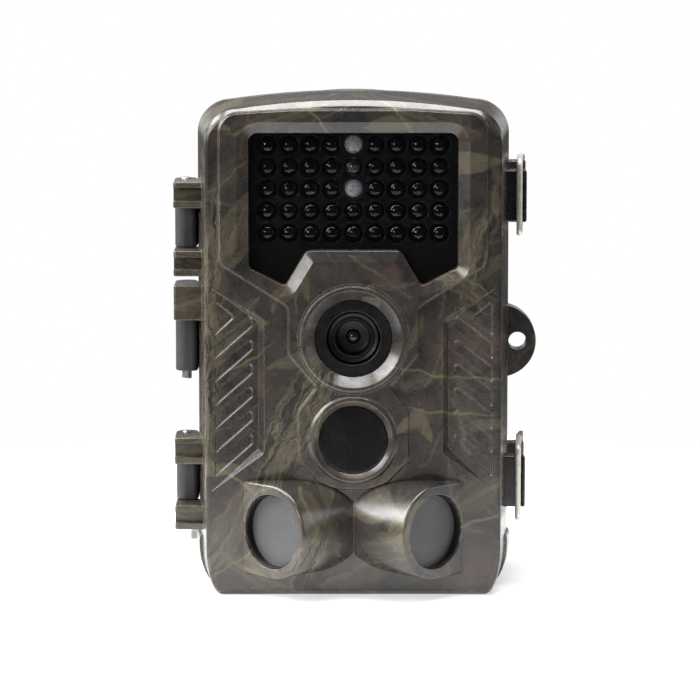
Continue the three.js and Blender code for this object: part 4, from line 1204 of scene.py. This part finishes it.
def lens():
    hood = [(7.2, -20.6), (10.25, -20.6), (10.25, -13.4), (7.2, -13.4)]
    for i in range(7):
        level = -14.2 - i * 0.9
        hood += [(7.2 + i * 0.33, level), (7.2 + (i + 1) * 0.33, level - 0.12)]
    place_lens_piece("lens_hood", hood, "lens_black", "black_plastic", 128)
    barrel = [
        (6.9, -13.3), (2.0, -13.3), (2.0, -16.7), (3.9, -16.9), (4.2, -17.0), (4.45, -17.5), (4.75, -18.2),
        (4.9, -18.9), (5.0, -19.1), (5.3, -19.1), (5.38, -18.75), (5.75, -18.75), (5.85, -19.15),
        (6.3, -19.3), (6.6, -19.4), (6.82, -19.3), (6.9, -19.0)]
    place_lens_piece("lens_barrel", barrel, "lens_black", "black_plastic", 128)
    glass = [(0, -17.6)]
    for i in range(1, 11):
        turn = math.radians(62) * i / 10
        glass.append((1.75 * math.sin(turn), -17.6 + 1.75 * (1 - math.cos(turn))))
    glass += [(1.55, -15.7), (0, -15.7)]
    place_lens_piece("lens_glass", glass, "coated_glass", "lens_glass", 96)


lens()

# ---- centre sensor window


def centre_window():
    radius = PIR_BORE - 0.08
    profile = [(0, -22.2), (radius - 0.7, -22.2), (radius - 0.45, -22.25), (radius - 0.1, -22.18),
               (radius, -22.05), (radius, -21.3), (0, -21.3)]
    finished(turned("centre_window", profile, (0, 0, PIR_Z), segments=128), "front_half", "dark_window",
             "black_plastic", "centre_sensor_window")


centre_window()

# ---- hinge


def hinge_barrel(name, z0, z1):
    """A round barrel round the pin, with a leaf and a bridge to the rear half."""
    left, right = HINGE_X - 3, HINGE_X + 3
    corners = [(-42.55, HINGE_Y + 4.6, 0.2), (left, HINGE_Y + 4.6, 0.2), (left, HINGE_Y - 3, 2.98),
               (right, HINGE_Y - 3, 2.98), (right, HINGE_Y, 0.1), (-42.55, HINGE_Y, 0.1)]
    barrel = rimmed("barrel", corners, z0, z1, 0.3, 8)
    bridge = block("bridge", (HINGE_X - 2, 6.45, z0 + 0.6), (-39.1, 9.4, z1 - 0.6), 0.3)
    hole = rod("hole", (HINGE_X, HINGE_Y, 0), 1.42, z0 - 1, z1 + 1, UP)
    finished(cut(join(barrel, bridge), hole), "rear_half", "grainy_black", "black_plastic", name)


def hinge_pin(name):
    low, high = box_mm(name)
    finished(rod(name, ((low.x + high.x) / 2, (low.y + high.y) / 2, 0), 1.3, low.z, high.z, UP, 0.25, 48),
             "rear_half", "polished_steel", "polished_steel", name)


for side_name, (_, barrel_span) in HINGES.items():
    hinge_barrel(side_name + "_hinge_barrel", *barrel_span)
    hinge_pin(side_name + "_hinge_pin")

# ---- latches

LEVER_PIVOT = (42.8, 12.0)
BAIL_PIVOT = (46.0, 12.0)
WIRE_END = (45.0, -7.0)
LATCH_HALF = 8.5


def latch_wire(name, z):
    """A bent wire: in from one pivot, forward to the hook, up, and back to the other pivot."""
    bend = 1.7
    reach = LATCH_HALF + 1.3
    corners = [Vector((*point, z + rise)) for point, rise in (
        (BAIL_PIVOT, 3 - LATCH_HALF), (BAIL_PIVOT, -reach), (WIRE_END, -reach),
        (WIRE_END, reach), (BAIL_PIVOT, reach), (BAIL_PIVOT, LATCH_HALF - 3))]
    path = [corners[0]]
    for before, here, after in zip(corners, corners[1:], corners[2:]):
        enter = here + (before - here).normalized() * bend
        leave = here + (after - here).normalized() * bend
        for i in range(11):
            t = i / 10
            path.append(enter * (1 - t) ** 2 + here * (2 * t * (1 - t)) + leave * t ** 2)
    path.append(corners[-1])
    finished(sweep(name, path, 0.8, 20), name.replace("_latch_wire", "_wire"), "wire_steel", "polished_steel",
             name)


def latch_lever(name, z):
    """The lever: a curved plate with an eye for its pin and a lip to pull."""
    corners = [
        (LEVER_PIVOT[0], 9.8, 1.6), (44.9, 9.6, 0.3), (46.9, 9.8, 0.5), (47.4, 11, 0.6), (47.3, 24, 8),
        (48, 30.6, 0.35), (46.8, 30.8, 0.35), (45.6, 24, 6), (45.4, 15.4, 0.8), (LEVER_PIVOT[0], 14.2, 2.15),
        (40.62, 14.2, 2.1), (40.62, 9.8, 2.1)]
    lever = rimmed("lever", corners, z - LATCH_HALF, z + LATCH_HALF, 0.45)
    tools = [block("gap", (39, 5, z - 3.2), (45.3, 20, z + 3.2), 0.2)]
    tools.append(rod("pin_hole", (*LEVER_PIVOT, 0), 1.12, z - 12, z + 12, UP, segments=40))
    for way in (-1, 1):
        ends = sorted((z + way * (LATCH_HALF + 1), z + way * (LATCH_HALF - 3.3)))
        tools.append(rod("wire_hole", (*BAIL_PIVOT, 0), 0.96, *ends, axis=UP, segments=40))
    finished(cut(lever, *tools), name.replace("_latch_lever", "_lever"), "camo_film", "camo_plastic", name)


LATCH_PLACES = {name: centre_mm(name + "_latch_lever").z for name in ("upper", "lower")}
keepers = [keeper(z) for z in LATCH_PLACES.values()]
finished(bring_together("latch_keepers", keepers), "front_half", "smooth_black", "black_plastic")
for side_name, latch_z in LATCH_PLACES.items():
    latch_wire(side_name + "_latch_wire", latch_z)
    latch_lever(side_name + "_latch_lever", latch_z)

# ---- rear shell

SOCKET_Y, SOCKET_Z = centre_mm("power_socket").y, centre_mm("power_socket").z
INSERT_Y = centre_mm("tripod_insert").y
BRACKET_SCREWS = {"upper_bracket_screw": 126, "lower_bracket_screw": 22}


def latch_lug(z):
    """The lug that carries a latch's pin."""
    corners = [(37, 9, 0.1), (LEVER_PIVOT[0], 9.8, 1.0), (45.0, 9.8, 2.1), (45.0, 14.2, 2.1),
               (LEVER_PIVOT[0], 14.2, 1.0), (37, 16, 0.1)]
    hole = rod("hole", (*LEVER_PIVOT, 0), 1.06, z - 5, z + 5, UP, segments=40)
    return cut(rimmed("lug", corners, z - 3, z + 3, 0.25), hole)


def gasket_ring(name, grow, y0, y1):
    outer = case_outline(40.2 + grow, 2.2 - grow, 132.8 + grow, top=7.4, foot_x=5, foot_z=10.5)
    inner = case_outline(38.7 - grow, 3.7 + grow, 131.3 - grow, top=6.6, foot_x=4.4, foot_z=9.6)
    return cut(prism(name, outer, y0, y1), prism("inner", inner, y0 - 1, y1 + 1))


def rear_shell():
    flange = loft("flange", [
        case_ring(REAR_RIM_Y, HALF_WIDTH - 0.15, 0.1, HEIGHT - 0.15),
        case_ring(REAR_RIM_Y + 0.2, HALF_WIDTH, 0, HEIGHT),
        case_ring(5.9, HALF_WIDTH - 0.2, 0, HEIGHT), case_ring(6.2, HALF_WIDTH - 0.5, 0.1, HEIGHT - 0.3)])
    foot = boot([(REAR_RIM_Y, BOOT_HALF, 0), (8.6, BOOT_HALF - 0.6, 0), (9, BOOT_HALF - 0.95, 0.2)])
    rings = [case_ring(5, 38.9, 0, 134.6, sag=3, top=12, foot_x=6, foot_z=10)]
    for i in range(9):
        turn = math.pi / 2 * i / 8
        rise, run = math.sin(turn), 1 - math.cos(turn)
        rings.append(case_ring(23 + 4 * rise, 37.9 - 3.3 * run, 2.8 * run, 134 - 3.2 * run,
                               sag=3.4 + 0.4 * run, top=13 - 0.4 * run, foot_x=7 + run, foot_z=10 - run))
    housing = loft("housing", rings)
    cavity = loft("cavity", [
        case_ring(1, 36.6, 2.3, 131.6, sag=3, top=8.5, foot_x=5, foot_z=8),
        case_ring(23.9, 35.7, 2.3, 130.9, sag=3.2, top=9.4, foot_x=5, foot_z=8),
        case_ring(24.6, 35.0, 3.0, 130.2, sag=3.2, top=9, foot_x=5, foot_z=8)])
    boss = rod("boss", (0, INSERT_Y, 0), 8, 1, 10, UP)
    body = join(cut(join(flange, foot, housing), cavity), boss, padlock_ear(REAR_RIM_Y, 5.5))
    body = join(body, *[latch_lug(z) for z in LATCH_PLACES.values()])
    tools = [
        gasket_ring("seat", 0.1, 1, 4),
        rod("insert_hole", (0, INSERT_Y, 0), 5.15, -1, 9.2, UP),
        rod("socket_hole", (0, SOCKET_Y, SOCKET_Z), 3.15, -46, -30, RIGHT),
        rod("socket_sink", (0, SOCKET_Y, SOCKET_Z), 4.2, -46, -38.2, RIGHT),
    ]
    tools += [rod("screw_hole", (0, 0, z), 1.7, 20, 30, segments=32) for z in BRACKET_SCREWS.values()]
    finished(cut(body, *tools), "rear_half", "camo_film", "camo_plastic", "rear_shell")


rear_shell()
finished(gasket_ring("case_gasket", 0, REAR_RIM_Y + 0.1, 3.85), "rear_half", "gasket_rubber", "gasket_rubber",
         "case_gasket")


def rear_fittings():
    finished(turned("socket_plug", [
        (0, -45.3), (1.6, -45.3), (1.9, -45.15), (2.0, -44.8), (2.0, -40.5), (2.3, -40.2), (3.7, -40.2),
        (3.9, -40.0), (3.9, -38.6), (1.9, -38.5), (1.9, -35.6), (1.7, -35.4), (0, -35.4)],
        (0, SOCKET_Y, SOCKET_Z), RIGHT, 64),
        "socket_plug", "grey_rubber", "grey_rubber", "power_socket_plug")
    finished(turned("power_socket", [
        (2.1, -37.6), (2.25, -37.8), (2.8, -37.8), (2.95, -37.6), (2.95, -33.9), (0.9, -33.9), (0.9, -34.6),
        (2.1, -34.6)], (0, SOCKET_Y, SOCKET_Z), RIGHT, 64), "rear_half", "black_plastic", "black_plastic",
        "power_socket")
    thread = [(3.2, 0.3), (3.4, 0.3), (4.85, 0.3), (5, 0.45), (5, 8.85), (4.85, 9), (3.2, 9)]
    pitch = 1.27
    for i in range(6, -1, -1):
        thread += [(2.8, 0.75 + (i + 0.5) * pitch), (3.2, 0.75 + i * pitch)]
    finished(turned("tripod_insert", thread, (0, INSERT_Y, 0), UP, 64), "rear_half", "turned_brass", "brass",
             "tripod_insert")
    for name, z in BRACKET_SCREWS.items():
        head = turned(name, [
            (0, 23.2), (1.5, 23.2), (1.5, BACK_Y + 2.75), (3.1, BACK_Y + 2.75), (3.2, BACK_Y + 2.9),
            (3.1, BACK_Y + 3.9), (2.4, BACK_Y + 4.45), (1.2, BACK_Y + 4.6), (0, BACK_Y + 4.6)], (0, 0, z))
        cross = [block("slot", (-2, BACK_Y + 3.6, z - 0.4), (2, BACK_Y + 6, z + 0.4), 0.15),
                 block("slot", (-0.4, BACK_Y + 3.6, z - 2), (0.4, BACK_Y + 6, z + 2), 0.15)]
        finished(cut(head, join(*cross)), "rear_half", "plated_steel", "polished_steel", name)
    for name in LATCH_PLACES:
        pin = name + "_latch_pin"
        low, high = box_mm(pin)
        finished(rod(pin, (*LEVER_PIVOT, 0), 1.0, low.z, high.z, UP, 0.2, 40), "rear_half",
                 "polished_steel", "polished_steel", pin)


rear_fittings()

# ---- battery tray


def battery_spring(index):
    """A cone-shaped coil on its contact plate."""
    name = f"battery_spring_{index}"
    low, high = box_mm(name)
    middle = (low + high) / 2
    stands = index % 2 == 1
    start, end = (low.z + 0.9, high.z - 0.5) if stands else (high.z - 0.9, low.z + 0.5)
    path = []
    for i in range(145):
        t = i / 144
        turn = t * 3.5 * math.tau
        radius = 4.15 - 1.5 * t
        path.append((middle.x + radius * math.cos(turn), middle.y + radius * math.sin(turn),
                     start + (end - start) * t))
    coil = sweep(name, path, 0.45, 12)
    foot, top = (low.z, low.z + 0.5) if stands else (high.z - 0.5, high.z)
    reach = Vector((5.6, 5.6))
    plate = block("plate", (*(middle.xy - reach), foot), (*(middle.xy + reach), top), 0.15)
    finished(bring_together(name, [coil, plate]), "rear_half", "plated_steel", "polished_steel", name)


for index in range(1, 5):
    battery_spring(index)

# ---- inner cover and its controls

KEYS = ("menu", "left", "ok", "right", "up", "down")
COVER_FRONT_Y, COVER_BACK_Y = (corner.y for corner in box_mm("inner_cover"))
# Screen, mode switch, USB socket and card slot: left, right, bottom and top of each.
COVER_WINDOWS = (
    (-21, 21, 91.5, 120.5), (23.8, 28.2, 59, 73), (-24.3, -15.7, 17.7, 22.7), (1.5, 28.5, 18, 22.4))


def inner_cover():
    """The panel that shows when the case is open: screen window, keys, switch and sockets."""
    cover = loft("inner_cover", [
        case_ring(COVER_FRONT_Y, 39.4, 3, 132, top=6.6, foot_x=4.4, foot_z=9.6),
        case_ring(COVER_BACK_Y - 0.4, 39.7, 2.7, 132.3, top=6.8, foot_x=4.4, foot_z=9.8),
        case_ring(COVER_BACK_Y, 39.3, 3.1, 131.9, top=6.6, foot_x=4.4, foot_z=9.8)])
    tools = []
    for key in KEYS:
        place = centre_mm(key + "_button")
        tools.append(turned("key_hole", [
            (0, -2), (3.9, -2), (3.9, COVER_BACK_Y - 0.4), (4.2, COVER_BACK_Y), (4.2, 3), (0, 3)],
            (place.x, 0, place.z), segments=64))
    for x0, x1, z0, z1 in COVER_WINDOWS:
        corners = [(x0, z0, 0.8), (x1, z0, 0.8), (x1, z1, 0.8), (x0, z1, 0.8)]
        rings = [at_level(rounded(grown(corners, spread)), y)
                 for y, spread in ((-2, 0), (COVER_BACK_Y - 0.5, 0), (COVER_BACK_Y, 0.4), (3, 0.4))]
        tools.append(loft("window", rings))
    finished(cut(cover, *tools), "front_half", "black_plastic", "black_plastic", "inner_cover")


def key(name):
    """A round key with a shallow dish in its cap."""
    place = centre_mm(name + "_button")
    profile = [(0, -3), (3.6, -3), (3.6, 1.55), (3.5, 1.85), (3.2, 2.0), (2.8, 1.95), (1.8, 1.72), (0, 1.6)]
    cap = turned(name + "_button", profile, (place.x, 0, place.z), segments=64)
    finished(cap, name + "_key", "key_rubber", "key_rubber", name + "_button")


inner_cover()
for key_name in KEYS:
    key(key_name)

# ---- CAD nodes shown as they are


def dress(node, look, width=0.2):
    """Gives a CAD node its finish and softens its edges."""
    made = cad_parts[node]
    made.data.materials.clear()
    made.data.materials.append(MATERIALS[look])
    weld = made.modifiers.new("weld", "WELD")
    weld.merge_threshold = 0.000002
    bevel = made.modifiers.new("soft_edges", "BEVEL")
    bevel.width = width * MM
    bevel.segments = 2
    bevel.limit_method = "ANGLE"
    bevel.angle_limit = math.radians(40)


DRESSED = {
    "battery_tray": "black_plastic", "tree_bracket": "bracket_black", "mode_switch": "key_rubber",
    "usb_socket": "plated_steel", "card_slot": "plated_steel", "display": "display_face",
    "main_board": "circuit_board", "lens_holder": "black_plastic", "infrared_cut_filter": "coated_glass",
    "left_sensor": "plated_steel", "right_sensor": "plated_steel", "centre_sensor": "plated_steel",
}
for node, look in DRESSED.items():
    dress(node, look)
for index in range(1, 5):
    dress(f"battery_contact_{index}", "plated_steel", 0.12)

# ---- floor

FLOOR_RADIUS = 215
FLOOR_CENTRE_Y = 40
FLOOR_SIDES = 96
floor = mesh_object("floor", [
    (FLOOR_RADIUS * math.cos(turn), FLOOR_CENTRE_Y + FLOOR_RADIUS * math.sin(turn), 0)
    for turn in (math.tau * i / FLOOR_SIDES for i in range(FLOOR_SIDES))], [tuple(range(FLOOR_SIDES))])
floor.data.materials.append(MATERIALS["paper"])
